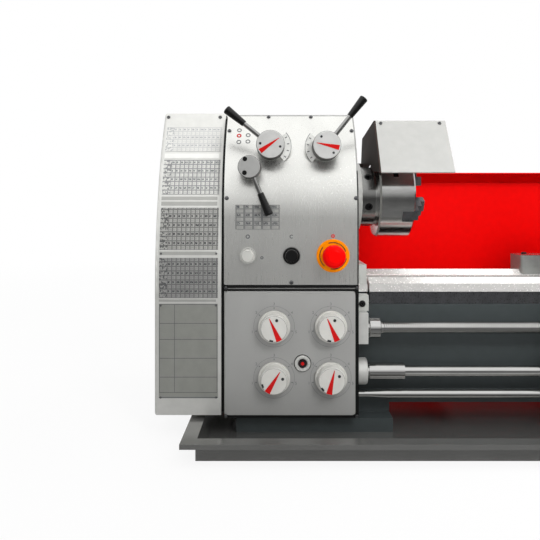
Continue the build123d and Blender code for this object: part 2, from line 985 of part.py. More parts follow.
# End cover: deep folded shell, open towards the headstock, with the moving halves of its hinges
hinge_bore = hinge_pin_radius + running_gap
with BuildPart() as end_cover:
    cover_shape = (cover_lean_start, cover_lean_radius)
    outer = lean_section(cover_left, 0, gearbox_bottom, cover_top, cover_back, *cover_shape)
    extrude(outer, amount=cover_width)
    fillet(end_cover.faces().sort_by(Axis.X)[0].edges(), cover_round)
    inner = lean_section(
        cover_left + cover_wall,
        cover_wall,
        gearbox_bottom + cover_wall,
        cover_top - cover_wall,
        cover_back - cover_wall,
        *cover_shape,
    )
    extrude(inner, amount=cover_width, mode=Mode.SUBTRACT)
    rod(spindle_line, along_x, cover_left, cover_left + cover_wall, cover_hole_radius, Mode.SUBTRACT)
    for z in hinge_heights:
        low = z + hinge_length + clear_gap
        high = z + 2 * hinge_length
        block((hinge_x - hinge_radius, cover_back, low), (cover_right, hinge_y, high))
        rod((hinge_x, hinge_y, 0), along_z, low, high, hinge_radius)
        rod((hinge_x, hinge_y, 0), along_z, low, high, hinge_bore, Mode.SUBTRACT)
save(end_cover, "end_cover")

# Spindle: hollow shaft with its bull gear, cam-lock nose flange and taper socket
gear_left = head_left + head_gear_inset
gear_right = gear_left + head_gear_width
tail_end = head_left - tail_reach
cam_x = nose_left + nose_width / 2
cam_angles = [180 - cam_start_angle - index * 360 / cam_count for index in range(cam_count)]
with BuildPart() as spindle:
    turn(
        spindle_line,
        along_x,
        [
            (tail_end, 0),
            (nose_face + spigot_length, 0),
            (nose_face + spigot_length, spigot_radius - edge_break),
            (nose_face + spigot_length - edge_break, spigot_radius),
            (nose_face, spigot_radius),
            (nose_face, nose_radius),
            (nose_left, nose_radius),
            (nose_left, journal_radius),
            (head_left - panel, journal_radius),
            (head_left - panel, tail_radius),
            (tail_end, tail_radius),
        ],
    )
    gear((gear_left, *spindle_at), bull_teeth, head_module, head_gear_width, 0)
    rod(spindle_line, along_x, tail_end, nose_face + spigot_length, spindle_bore, Mode.SUBTRACT)
    turn(
        spindle_line,
        along_x,
        [
            (nose_face + spigot_length - taper_depth, 0),
            (nose_face + spigot_length, 0),
            (nose_face + spigot_length, taper_mouth),
            (nose_face + spigot_length - taper_depth, spindle_bore),
        ],
        Mode.SUBTRACT,
    )
    for angle in cam_angles:
        outward = (0, math.cos(math.radians(angle)), math.sin(math.radians(angle)))
        start = nose_radius - cam_depth
        rod((cam_x, *spindle_at), outward, start, nose_radius + cut_over, cam_radius, Mode.SUBTRACT)
save(spindle, "spindle")

# Cams of the nose: one in each radial hole, with a square key socket
cam_sink = 1
cam_socket = 4
with BuildPart() as camlock_cams:
    for angle in cam_angles:
        outward = (0, math.cos(math.radians(angle)), math.sin(math.radians(angle)))
        start = nose_radius - cam_depth
        rod((cam_x, *spindle_at), outward, start, nose_radius - cam_sink, cam_radius - seat_gap)
        face = Plane(origin=(cam_x, *spindle_at), x_dir=along_x, z_dir=outward)
        with BuildSketch(face.offset(nose_radius)) as socket:
            Rectangle(cam_radius, cam_radius)
        extrude(socket.sketch, amount=-cam_socket - cam_sink, mode=Mode.SUBTRACT)
save(camlock_cams, "camlock_cams")

# Three-jaw chuck: body with radial jaw slots and key sockets between them
chuck_right = nose_face + chuck_length
chuck_edge = 3
chuck_plane = Plane(origin=(chuck_right, *spindle_at), x_dir=along_y, z_dir=along_x)
jaw_count = 3
jaw_angles = [90 + index * 360 / jaw_count for index in range(jaw_count)]
with BuildPart() as chuck_body:
    turn(
        spindle_line,
        along_x,
        [
            (nose_face, chuck_bore),
            (chuck_right, chuck_bore),
            (chuck_right, chuck_radius - chuck_edge),
            (chuck_right - chuck_edge, chuck_radius),
            (nose_face + chuck_neck + chuck_edge, chuck_radius),
            (nose_face + chuck_neck, chuck_radius - chuck_edge),
            (nose_face + chuck_neck, chuck_neck_radius),
            (nose_face, chuck_neck_radius),
        ],
    )
    rod(
        spindle_line,
        along_x,
        nose_face,
        nose_face + spigot_length + way_gap,
        spigot_radius + running_gap,
        Mode.SUBTRACT,
    )
    with BuildSketch(chuck_plane):
        with PolarLocations(chuck_radius / 2, jaw_count, start_angle=jaw_angles[0]):
            Rectangle(chuck_radius + chuck_edge, jaw_width + 2 * way_gap)
    extrude(amount=-jaw_depth, mode=Mode.SUBTRACT)
    for angle in jaw_angles:
        between = math.radians(angle + 180)
        outward = (0, math.cos(between), math.sin(between))
        face = Plane(origin=(chuck_right - chuck_length / 2, *spindle_at), x_dir=along_x, z_dir=outward)
        with BuildSketch(face.offset(chuck_radius)) as socket:
            Rectangle(key_socket, key_socket)
        extrude(socket.sketch, amount=-2 * key_socket, mode=Mode.SUBTRACT)
save(chuck_body, "chuck_body")

# Chuck jaws: stepped, each on its own radial slot
jaw_outer = jaw_rest + jaw_length
jaw_third = jaw_length / 3
jaw_profile = [
    (chuck_right - jaw_depth + way_gap, jaw_rest),
    (chuck_right + jaw_reach, jaw_rest),
    (chuck_right + jaw_reach, jaw_rest + jaw_third),
    (chuck_right + jaw_reach - jaw_step, jaw_rest + jaw_third),
    (chuck_right + jaw_reach - jaw_step, jaw_rest + 2 * jaw_third),
    (chuck_right + jaw_reach - 2 * jaw_step, jaw_rest + 2 * jaw_third),
    (chuck_right + jaw_reach - 2 * jaw_step, jaw_outer),
    (chuck_right - jaw_depth + way_gap, jaw_outer),
]
for index, angle in enumerate(jaw_angles):
    across = (0, -math.sin(math.radians(angle)), math.cos(math.radians(angle)))
    jaw_plane = Plane(origin=spindle_line, x_dir=along_x, z_dir=across)
    with BuildPart() as chuck_jaw:
        prism(jaw_plane.offset(-jaw_width / 2), jaw_profile, jaw_width)
    save(chuck_jaw, f"chuck_jaw_{index + 1}")

# Stud: shaft with the gear driven by the spindle inside and the first change gear outside
with BuildPart() as stud_gear:
    rod((0, *stud_at), along_x, change_left - panel_gap, gear_right + panel_gap, stud_radius)
    gear((gear_left, *stud_at), reverse_teeth, head_module, head_gear_width, reverse_phase)
    gear((change_left, *stud_at), stud_teeth, change_module, change_gear_width, stud_phase)
save(stud_gear, "stud_gear")

# Idler change gear, turning on the quadrant's pin
idler_hub_radius = 15
idler_hub = 6
idler_web = 4
idler_rim = 48
with BuildPart() as idler_gear:
    gear((change_left, *idler_at), idler_teeth, change_module, change_gear_width, idler_phase)
    turn(
        (change_left, *idler_at),
        along_x,
        [
            (0, idler_hub_radius),
            (idler_web, idler_hub_radius + edge_break),
            (idler_web, idler_rim - edge_break),
            (0, idler_rim),
        ],
        Mode.SUBTRACT,
    )
    hub_end = change_gear_width + idler_hub
    rod((change_left, *idler_at), along_x, change_gear_width, hub_end, idler_hub_radius)
    rod((change_left, *idler_at), along_x, 0, hub_end, idler_pin_radius + running_gap, Mode.SUBTRACT)
save(idler_gear, "idler_gear")

# Gearbox input gear on its shaft
with BuildPart() as gearbox_gear:
    rod(
        (0, *gearbox_at),
        along_x,
        change_left - panel_gap,
        head_left + 2 * input_boss_length - panel_gap,
        gearbox_shaft_radius,
    )
    gear((change_left, *gearbox_at), gearbox_teeth, change_module, change_gear_width, gearbox_phase)
save(gearbox_gear, "gearbox_gear")


def pulley(origin, left, radius):
    """A flanged belt pulley on a shaft along X."""
    right = left + pulley_width
    turn(
        origin,
        along_x,
        [
            (left, 0),
            (right, 0),
            (right, radius + pulley_flange),
            (right - pulley_wall, radius + pulley_flange),
            (right - pulley_wall, radius),
            (left + pulley_wall, radius),
            (left + pulley_wall, radius + pulley_flange),
            (left, radius + pulley_flange),
        ],
    )


# Input pulley: pulley, drive shaft and the pinion that turns the bull gear
pulley_left = head_left - pulley_inset - pulley_width
input_line = (0, *input_at)
with BuildPart() as input_pulley:
    pulley(input_line, pulley_left, input_pulley_radius)
    rod(input_line, along_x, pulley_left - panel_gap, head_right - head_wall / 2 - panel_gap, shaft_radius)
    gear((gear_left, *input_at), pinion_teeth, head_module, head_gear_width, pinion_phase)
save(input_pulley, "input_pulley")

# Motor pulley with the motor's shaft
with BuildPart() as motor_pulley:
    pulley(motor_line, pulley_left, motor_pulley_radius)
    rod(motor_line, along_x, pulley_left - panel_gap, plate_left + fan_cover_length - panel_gap, shaft_radius)
save(motor_pulley, "motor_pulley")

# Chuck guard: folded hood with a side plate, swinging on a pin in the headstock
hood_left = head_right + guard_left
guard_folds = [
    (guard_pin_y + y, guard_pin_z + z) for y, z in (guard_lip, guard_brow, guard_rear, guard_heel)
]
guard_foot = (guard_pin_y + guard_hip[0], guard_pin_z + guard_hip[1])
with BuildPart() as chuck_guard:
    with BuildSketch(Plane.YZ.offset(hood_left)) as side_plate:
        with BuildLine():
            FilletPolyline(*guard_folds, radius=guard_bend)
            Polyline(guard_folds[-1], guard_foot, guard_folds[0])
        make_face()
        with Locations((guard_pin_y, guard_pin_z)):
            Circle(guard_ear_radius)
        with Locations(spindle_at):
            Circle(guard_arch_radius, mode=Mode.SUBTRACT)
    extrude(side_plate.sketch, amount=guard_sheet)
    with BuildSketch(Plane.YZ.offset(hood_left)) as hood:
        with BuildLine():
            FilletPolyline(*guard_folds, radius=guard_bend)
            offset(amount=guard_sheet, side=Side.RIGHT)
        make_face()
    extrude(hood.sketch, amount=guard_width)
    rod(guard_line, along_x, head_right - head_wall, hood_left, guard_pin_radius)
save(chuck_guard, "chuck_guard")


def moved(point, direction, distance):
    """The point a distance away along a direction."""
    return tuple(a + distance * b for a, b in zip(point, direction))


def lever_arm(place, hub_length, angle):
    """Middle of a lever's hub at the arm, and the arm's direction."""
    x, z, hub_radius = place
    foot = -boss_face(z, hub_radius) + clear_gap
    middle = (x, -foot - arm_share * hub_length, z)
    return middle, (math.cos(math.radians(angle)), 0, math.sin(math.radians(angle)))


# Headstock levers: round hub, shaft into the casting, slim arm with a stub for the grip
arm_share = 0.55
hub_edge = 1.5
lever_shapes = [
    ("left_lever", speed_hub_length, left_lever_angle, left_lever_reach),
    ("right_lever", speed_hub_length, right_lever_angle, right_lever_reach),
    ("feed_lever", feed_hub_length, feed_lever_angle, feed_lever_reach),
]
for place, (name, hub_length, angle, reach) in zip(lever_places, lever_shapes):
    x, z, hub_radius = place
    foot = -boss_face(z, hub_radius) + clear_gap
    middle, outward = lever_arm(place, hub_length, angle)
    with BuildPart() as lever:
        turn(
            (x, 0, z),
            to_front,
            [
                (foot - lever_shaft_length, 0),
                (foot + hub_length, 0),
                (foot + hub_length, hub_radius - hub_edge),
                (foot + hub_length - hub_edge, hub_radius),
                (foot, hub_radius),
                (foot, lever_shaft_radius),
                (foot - lever_shaft_length, lever_shaft_radius),
            ],
        )
        rod(middle, outward, 0, reach - grip_length, arm_radius)
        rod(middle, outward, reach - grip_length, reach - grip_length + stub_length, stub_radius)
    save(lever, name)

# Grips: tapered, with a blunt end, pushed on the stub of each arm
for place, (name, hub_length, angle, reach) in zip(lever_places, lever_shapes):
    middle, outward = lever_arm(place, hub_length, angle)
    start = reach - grip_length
    with BuildPart() as grip:
        turn(middle, outward, [(start, 0), (reach, 0), (reach, grip_radius), (start, grip_neck)])
        end_rim = grip.edges().filter_by(GeomType.CIRCLE).sort_by(SortBy.RADIUS)[-1]
        fillet(end_rim, grip_round)
        rod(middle, outward, start, start + stub_length + clear_gap, stub_radius + seat_gap, Mode.SUBTRACT)
    save(grip, f"{name}_grip")

# Selector dials: skirt, tapered knob and shaft
for index, (x, z) in enumerate(dial_places):
    foot = front_reach + clear_gap
    with BuildPart() as gear_dial:
        turn(
            (x, 0, z),
            to_front,
            [
                (foot - dial_shaft_length, 0),
                (foot + dial_height, 0),
                (foot + dial_height, dial_face_radius - edge_break),
                (foot + dial_height - edge_break, dial_face_radius),
                (foot + dial_skirt, dial_radius),
                (foot + dial_skirt, dial_skirt_radius - edge_break),
                (foot + dial_skirt - edge_break, dial_skirt_radius),
                (foot, dial_skirt_radius),
                (foot, dial_shaft_radius),
                (foot - dial_shaft_length, dial_shaft_radius),
            ],
        )
    save(gear_dial, f"gear_dial_{index + 1}")

# Start and jog buttons
button_edge = 1.5
for name, x in (("start_button", start_x), ("jog_button", jog_x)):
    with BuildPart() as button:
        turn(
            (head_left + x, 0, button_z),
            to_front,
            [
                (front_reach - button_stem, 0),
                (front_reach + button_proud, 0),
                (front_reach + button_proud, button_radius - button_edge),
                (front_reach + button_proud - button_edge, button_radius),
                (front_reach - button_stem, button_radius),
            ],
        )
    save(button, name)

# Emergency-stop mushroom
stop_dome = 5
with BuildPart() as e_stop_button:
    head_start = front_reach + mushroom_stand - mushroom_height
    turn(
        (head_left + stop_x, 0, button_z),
        to_front,
        [
            (front_reach - button_stem, 0),
            (front_reach + mushroom_stand, 0),
            (front_reach + mushroom_stand, mushroom_radius / 2),
            (front_reach + mushroom_stand - stop_dome / 3, mushroom_radius - stop_dome),
            (front_reach + mushroom_stand - stop_dome, mushroom_radius - stop_dome / 3),
            (front_reach + mushroom_stand - 2 * stop_dome, mushroom_radius),
            (head_start, mushroom_radius),
            (head_start, button_radius),
            (front_reach - button_stem, button_radius),
        ],
    )
save(e_stop_button, "e_stop_button")

# Leadscrew with its collar
rods_left = head_right - rod_entry
rods_right = bracket_right + panel
collar_left = head_right + head_toe
with BuildPart() as leadscrew:
    line = (0, rod_y, leadscrew_z)
    rod(line, along_x, rods_left, rods_right, leadscrew_radius)
    rod(line, along_x, collar_left, collar_left + input_boss_length, leadscrew_collar_radius)
save(leadscrew, "leadscrew")

# Feed rod with its safety sleeve and a keyway along the front
sleeve_length = 63
with BuildPart() as feed_rod:
    line = (0, rod_y, feed_rod_z)
    rod(line, along_x, rods_left, rods_right, feed_rod_radius)
    rod(line, along_x, collar_left, collar_left + sleeve_length, feed_sleeve_radius)
    keyway_front = rod_y - feed_rod_radius
    block(
        (collar_left + sleeve_length, keyway_front - cut_over, feed_rod_z - keyway_width / 2),
        (bracket_left - panel, keyway_front + keyway_depth, feed_rod_z + keyway_width / 2),
        Mode.SUBTRACT,
    )
save(feed_rod, "feed_rod")

# Control rod, a little slimmer where it enters the gearbox
control_taper = 30
with BuildPart() as control_rod:
    turn(
        (0, rod_y, control_rod_z),
        along_x,
        [
            (rods_left, 0),
            (rods_right, 0),
            (rods_right, control_rod_radius),
            (collar_left + control_taper, control_rod_radius),
            (collar_left, control_rod_radius - panel_gap),
            (rods_left, control_rod_radius - panel_gap),
        ],
    )
save(control_rod, "control_rod")

# Saddle: H-shaped casting on the ways, with the cross slide's dovetail on its bridge
carriage_x = head_left + carriage_mid
saddle_bottom = way_height + way_gap
saddle_top = saddle_bottom + saddle_height
saddle_front = -bed_half - saddle_overhang
saddle_back = bed_half + saddle_overhang
saddle_left = carriage_x - saddle_length / 2
dovetail_half = dovetail_width / 2
cross_screw_z = saddle_top - 2 * cross_screw_radius
cross_screw_length = 120


def dovetail(plane, half, base, height, slant, gap, depth, mode=Mode.ADD):
    """A dovetail section, wider at its top, run along the plane's normal."""
    top_half = half + gap + slant * gap / height
    corners = [
        (-half + slant - gap, base),
        (-top_half, base + height + gap),
        (top_half, base + height + gap),
        (half - slant + gap, base),
    ]
    prism(plane, corners, depth, mode)


with BuildPart() as saddle:
    block((saddle_left, saddle_front, saddle_bottom), (saddle_left + saddle_length, saddle_back, saddle_top))
    wing_inner = saddle_back - saddle_wing
    for side in (-1, 1):
        pocket = sorted((carriage_x + side * saddle_bridge / 2, carriage_x + side * saddle_length / 2))
        block((pocket[0], -wing_inner, saddle_bottom), (pocket[1], wing_inner, saddle_top), Mode.SUBTRACT)
    corners = saddle.edges().filter_by(Axis.Z)
    fillet(corners, hinge_radius)
    cross_plane = Plane(origin=(carriage_x, saddle_back, 0), x_dir=along_x, z_dir=to_front)
    dovetail(
        cross_plane,
        dovetail_half,
        saddle_top,
        dovetail_height,
        dovetail_slant,
        0,
        saddle_back - saddle_front,
    )
    rod(
        (carriage_x, 0, cross_screw_z),
        to_front,
        -saddle_front - cross_screw_length - panel_gap,
        -saddle_front,
        cross_screw_radius + running_gap,
        Mode.SUBTRACT,
    )
    vee_cut(saddle_left, saddle_length)
save(saddle, "saddle")

# Apron: gear case under the saddle's front, pierced by the leadscrew and the feed rod
apron_back = rod_y + saddle_overhang / 2
apron_front = apron_back - apron_thickness
apron_left = carriage_x - apron_length / 2
apron_right = carriage_x + apron_length / 2
apron_edge = 5
apron_lug = 20
apron_shaft_length = 32
wheel_at = (carriage_x + wheel_offset, 0, wheel_z)
half_nut_at = (carriage_x + half_nut_offset, 0, half_nut_z)
with BuildPart() as apron:
    block((apron_left, apron_front, apron_bottom), (apron_right, apron_back, saddle_bottom))
    chamfer(apron.faces().sort_by(Axis.Y)[0].edges(), apron_edge)
    lug_half = feed_sleeve_radius + apron_edge
    block(
        (apron_right, rod_y - lug_half, control_rod_z - lug_half),
        (apron_right + apron_lug, apron_back, apron_bottom + 2 * lug_half),
    )
    lug_line = (0, rod_y, control_rod_z)
    rod(
        lug_line,
        along_x,
        apron_right,
        apron_right + apron_lug,
        feed_sleeve_radius + running_gap,
        Mode.SUBTRACT,
    )
    for z, radius in rod_lines[:2]:
        rod((0, rod_y, z), along_x, apron_left, apron_right + apron_lug, radius + rod_clear, Mode.SUBTRACT)
    for place in (wheel_at, half_nut_at):
        rod(
            place,
            to_front,
            -apron_front - apron_shaft_length - panel_gap,
            -apron_front,
            stud_radius + running_gap,
            Mode.SUBTRACT,
        )
save(apron, "apron")


def handwheel(origin, direction, foot, radius, across, shaft_length, shaft):
    """A spoked wheel with a turned handle, and its shaft behind the foot."""
    rod(origin, direction, foot - shaft_length, foot + wheel_hub, shaft)
    rod(origin, direction, foot, foot + wheel_hub, wheel_hub_radius)
    rim_start = foot + wheel_hub - 2 * wheel_rim
    rim = [
        (rim_start, radius - 1.5 * wheel_rim),
        (rim_start, radius - wheel_rim / 2),
        (rim_start + wheel_rim / 2, radius),
        (rim_start + 1.5 * wheel_rim, radius),
        (rim_start + 2 * wheel_rim, radius - wheel_rim / 2),
        (rim_start + 2 * wheel_rim, radius - 1.5 * wheel_rim),
    ]
    turn(origin, direction, rim)
    upward = tuple(a - b for a, b in zip((1, 1, 1), (abs(a) + abs(b) for a, b in zip(direction, across))))
    spoke_middle = moved(origin, direction, rim_start + wheel_rim)
    for index in range(3):
        angle = math.radians(90 + 120 * index)
        spoke = tuple(a * math.cos(angle) + b * math.sin(angle) for a, b in zip(across, upward))
        rod(spoke_middle, spoke, wheel_hub_radius - spoke_root, radius - wheel_rim, spoke_radius)
    handle_root = moved(origin, upward, radius - wheel_rim)
    turn_start = rim_start + wheel_rim
    turn(
        handle_root,
        direction,
        [
            (turn_start, 0),
            (turn_start + handle_length, 0),
            (turn_start + handle_length, handle_radius - handle_bevel),
            (turn_start + handle_length - handle_bevel, handle_radius),
            (turn_start + handle_length / 2, handle_radius),
            (turn_start + 2 * wheel_rim, handle_radius / 2),
            (turn_start, handle_radius / 2),
        ],
    )


# Carriage handwheel
wheel_hub = 30
wheel_hub_radius = 18
spoke_radius = 5
spoke_root = 2
handle_length = 56
handle_radius = 9
handle_bevel = 2
with BuildPart() as carriage_handwheel:
    foot = -apron_front + clear_gap
    handwheel(wheel_at, to_front, foot, wheel_radius, along_x, apron_shaft_length, stud_radius)
save(carriage_handwheel, "carriage_handwheel")

# Half-nut lever: hub on the apron with a straight arm and a ball
half_nut_reach = 78
half_nut_hub = 28
half_nut_direction = (math.cos(math.radians(-60)), 0, math.sin(math.radians(-60)))
ball_radius = 11
with BuildPart() as half_nut_lever:
    foot = -apron_front + clear_gap
    rod(half_nut_at, to_front, foot - apron_shaft_length, foot, stud_radius)
    rod(half_nut_at, to_front, foot, foot + half_nut_hub, wheel_hub_radius)
    middle = moved(half_nut_at, to_front, foot + half_nut_hub / 2)
    rod(middle, half_nut_direction, 0, half_nut_reach, spoke_radius)
    with Locations(moved(middle, half_nut_direction, half_nut_reach)):
        Sphere(ball_radius)
save(half_nut_lever, "half_nut_lever")

# Control lever: sleeve round the control rod, with an arm reaching forward to its ball
control_lever_reach = 112
sleeve_right = apron_right + 2 * apron_lug
control_direction = (0, -math.cos(math.radians(15)), math.sin(math.radians(15)))
with BuildPart() as control_lever:
    rod(lug_line, along_x, apron_right - apron_lug / 2, sleeve_right, feed_sleeve_radius)
    middle = (sleeve_right - apron_lug / 2, rod_y, control_rod_z)
    rod(middle, control_direction, 0, control_lever_reach, spoke_radius)
    with Locations(moved(middle, control_direction, control_lever_reach)):
        Sphere(ball_radius)
    rod(
        lug_line,
        along_x,
        apron_right - apron_lug / 2,
        sleeve_right,
        control_rod_radius + running_gap,
        Mode.SUBTRACT,
    )
save(control_lever, "control_lever")

# Cross slide: flat table on the saddle's dovetail
cross_half = saddle_bridge / 2 + ball_radius
cross_bottom = saddle_top + way_gap
cross_top = saddle_top + cross_slide_height
with BuildPart() as cross_slide:
    half_length = cross_slide_length / 2
    block(
        (carriage_x - cross_half, -half_length, cross_bottom),
        (carriage_x + cross_half, half_length, cross_top),
    )
    chamfer(cross_slide.edges().group_by(Axis.Z)[-1], hub_edge)
    slide_plane = Plane(origin=(carriage_x, half_length, 0), x_dir=along_x, z_dir=to_front)
    dovetail(
        slide_plane,
        dovetail_half,
        saddle_top,
        dovetail_height,
        dovetail_slant,
        way_gap,
        cross_slide_length,
        Mode.SUBTRACT,
    )
save(cross_slide, "cross_slide")


def crank(origin, direction, foot, arm, across, shaft_length, shaft):
    """A screw end with a graduated collar and a two-armed ball crank."""
    rod(origin, direction, foot - shaft_length, foot + crank_collar, shaft)
    rod(origin, direction, foot, foot + crank_collar, crank_collar_radius)
    rod(origin, direction, foot + crank_collar, foot + 2 * crank_collar, ball_radius)
    arm_middle = moved(origin, direction, foot + 1.5 * crank_collar)
    rod(arm_middle, across, -arm, arm, spoke_radius)
    with Locations(moved(arm_middle, across, -arm), moved(arm_middle, across, arm)):
        Sphere(crank_ball_radius)
    handle_root = moved(arm_middle, across, arm)
    turn(
        handle_root,
        direction,
        [
            (0, 0),
            (handle_length, 0),
            (handle_length, crank_handle_radius - handle_bevel),
            (handle_length - handle_bevel, crank_handle_radius),
            (handle_length / 2, crank_handle_radius),
            (ball_radius, handle_radius / 2),
            (0, handle_radius / 2),
        ],
    )


# Cross-feed handle with its screw
crank_collar = 20
crank_collar_radius = 22
crank_ball_radius = 9
crank_handle_radius = 8
cross_hub_radius = 13
cross_collar_length = 45
with BuildPart() as cross_handle:
    foot = -saddle_front + clear_gap
    line = (carriage_x, 0, cross_screw_z)
    collar_foot = foot + cross_collar_length
    crank(line, to_front, collar_foot, crank_radius, along_x, cross_collar_length, cross_screw_radius)
    rod(line, to_front, foot, collar_foot, cross_hub_radius)
    rod(line, to_front, foot - cross_screw_length, foot, cross_screw_radius)
save(cross_handle, "cross_handle")

# Compound base: graduated swivel disc with the top slide's dovetail
compound_bottom = cross_top + way_gap
compound_top = cross_top + compound_height
compound_plate = 4
top_dovetail = 8
top_dovetail_half = 27
top_dovetail_slant = 5
compound_bed_front = 80
compound_bed_rear = 45
with BuildPart() as compound_base:
    disc_top = compound_top - top_dovetail - compound_plate
    rod((carriage_x, 0, 0), along_z, compound_bottom, disc_top, compound_radius)
    bed_top = compound_top - top_dovetail
    block(
        (carriage_x - compound_bed_front, -top_slide_width / 2, disc_top),
        (carriage_x + compound_bed_rear, top_slide_width / 2, bed_top),
    )
    top_plane = Plane(origin=(carriage_x - compound_bed_front, 0, 0), x_dir=along_y, z_dir=along_x)
    dovetail(
        top_plane,
        top_dovetail_half,
        bed_top,
        top_dovetail,
        top_dovetail_slant,
        0,
        compound_bed_front + compound_bed_rear,
    )
save(compound_base, "compound_base")

# Top slide with the fixed post pin
top_bottom = compound_top - top_dovetail + way_gap
top_top = compound_top + top_slide_height
top_left = carriage_x - top_slide_length / 2
top_screw_z = (compound_top + top_top) / 2
post_x = carriage_x - saddle_overhang
post_top = top_top + post_height
post_pin_top = post_top + post_slot
top_screw_length = 60
with BuildPart() as top_slide:
    block(
        (top_left, -top_slide_width / 2, top_bottom),
        (top_left + top_slide_length, top_slide_width / 2, top_top),
    )
    chamfer(top_slide.edges().group_by(Axis.Z)[-1], hub_edge)
    top_plane = Plane(origin=(top_left, 0, 0), x_dir=along_y, z_dir=along_x)
    dovetail(
        top_plane,
        top_dovetail_half,
        bed_top,
        top_dovetail,
        top_dovetail_slant,
        way_gap,
        top_slide_length,
        Mode.SUBTRACT,
    )
    rod((post_x, 0, 0), along_z, top_top, post_pin_top, post_pin_radius)
    top_right = top_left + top_slide_length
    rod(
        (0, 0, top_screw_z),
        along_x,
        top_right - top_screw_length - panel_gap,
        top_right,
        cross_screw_radius + running_gap,
        Mode.SUBTRACT,
    )
save(top_slide, "top_slide")

# Top-slide handle with its screw
top_crank = 27
with BuildPart() as top_slide_handle:
    line = (0, 0, top_screw_z)
    crank(line, along_x, top_right + clear_gap, top_crank, along_y, top_screw_length, cross_screw_radius)
save(top_slide_handle, "top_slide_handle")

# Four-way tool post
post_half = post_size / 2
post_slot_floor = top_top + post_slot
with BuildPart() as toolpost:
    block((post_x - post_half, -post_half, top_top + way_gap), (post_x + post_half, post_half, post_top))
    core = post_half - post_slot_depth
    with BuildSketch(Plane.XY.offset(post_slot_floor)) as ring:
        with Locations((post_x, 0)):
            Rectangle(post_size + 1, post_size + 1)
            Rectangle(2 * core, 2 * core, mode=Mode.SUBTRACT)
    extrude(ring.sketch, amount=post_slot, mode=Mode.SUBTRACT)
    rod((post_x, 0, 0), along_z, top_top, post_top, post_pin_radius + running_gap, Mode.SUBTRACT)
    chamfer(toolpost.edges().group_by(Axis.Z)[-1].filter_by(GeomType.LINE), hub_edge)
save(toolpost, "toolpost")

# Tool-post clamp lever on the pin's top
post_lever_reach = 92
post_lever_bottom = post_top + way_gap
post_lever_direction = (
    math.cos(math.radians(-50)) * math.cos(math.radians(25)),
    math.sin(math.radians(-50)) * math.cos(math.radians(25)),
    math.sin(math.radians(25)),
)
with BuildPart() as toolpost_lever:
    rod((post_x, 0, 0), along_z, post_lever_bottom, post_pin_top + spoke_radius, wheel_hub_radius)
    lever_root = (post_x, 0, post_lever_bottom + wheel_hub_radius / 2)
    tilt = Plane(origin=lever_root, z_dir=post_lever_direction)
    with BuildSketch(tilt) as arm_section:
        Circle(spoke_radius)
    extrude(arm_section.sketch, amount=post_lever_reach)
    with Locations(moved(lever_root, post_lever_direction, post_lever_reach)):
        Sphere(ball_radius)
    pin_fit = post_pin_radius + running_gap
    rod((post_x, 0, 0), along_z, post_lever_bottom, post_pin_top, pin_fit, Mode.SUBTRACT)
save(toolpost_lever, "toolpost_lever")

# Tailstock: base on the vees, waisted column and the quill barrel
tail_x = head_left + tailstock_mid
tail_left = tail_x - tailstock_length / 2
tail_right = tail_x + tailstock_length / 2
tail_base_top = way_height + tailstock_base
barrel_radius = 42
column_half = 36
column_inset = 12
quill_front = tail_left - quill_nose
quill_back = quill_front + quill_length
barrel_wall = 20
quill_clear = 5
waist_z = 345
clamp_z = 372
clamp_depth = 30
clamp_at = (tail_x, 0, clamp_z)
with BuildPart() as tailstock:
    block((tail_left, -bed_half, way_height + way_gap), (tail_right, bed_half, tail_base_top))
    chamfer(tailstock.edges().group_by(Axis.Z)[-1], apron_edge)
    column = [
        (-column_half - column_inset, tail_base_top),
        (-column_half, waist_z),
        (-column_half, spindle_z),
        (column_half, spindle_z),
        (column_half, waist_z),
        (column_half + column_inset, tail_base_top),
    ]
    column_left = tail_left + column_inset
    prism(Plane.YZ.offset(column_left), column, tailstock_length - 2 * column_inset)
    rod(spindle_line, along_x, tail_left, tail_right, barrel_radius)
    rod(
        spindle_line,
        along_x,
        tail_left,
        tail_right - barrel_wall,
        quill_radius + running_gap,
        Mode.SUBTRACT,
    )
    rod(
        spindle_line,
        along_x,
        tail_right - barrel_wall,
        tail_right,
        cross_screw_radius + running_gap,
        Mode.SUBTRACT,
    )
    rod(
        clamp_at,
        along_y,
        column_half - clamp_depth - panel_gap,
        column_half,
        clamp_radius + running_gap,
        Mode.SUBTRACT,
    )
    vee_cut(tail_left, tailstock_length)
save(tailstock, "tailstock")

# Tailstock quill: taper socket in front, screw bore behind
quill_travel = 100
screw_end = quill_back - quill_travel - ball_radius
socket_depth = 81
socket_end = 9.3
with BuildPart() as tailstock_quill:
    turn(
        spindle_line,
        along_x,
        [
            (quill_front, 0),
            (quill_back, 0),
            (quill_back, quill_radius),
            (quill_front + hub_edge, quill_radius),
            (quill_front, quill_radius - hub_edge),
        ],
    )
    turn(
        spindle_line,
        along_x,
        [
            (quill_front, 0),
            (quill_front + socket_depth, 0),
            (quill_front + socket_depth, socket_end),
            (quill_front, quill_socket),
        ],
        Mode.SUBTRACT,
    )
    rod(
        spindle_line,
        along_x,
        screw_end - quill_clear,
        quill_back,
        cross_screw_radius + clear_gap,
        Mode.SUBTRACT,
    )
save(tailstock_quill, "tailstock_quill")

# Tailstock handwheel with the quill's screw
with BuildPart() as tailstock_handwheel:
    foot = tail_right + clear_gap
    screw_length = foot - screw_end
    handwheel(spindle_line, along_x, foot, tail_wheel_radius, along_y, screw_length, cross_screw_radius)
save(tailstock_handwheel, "tailstock_handwheel")

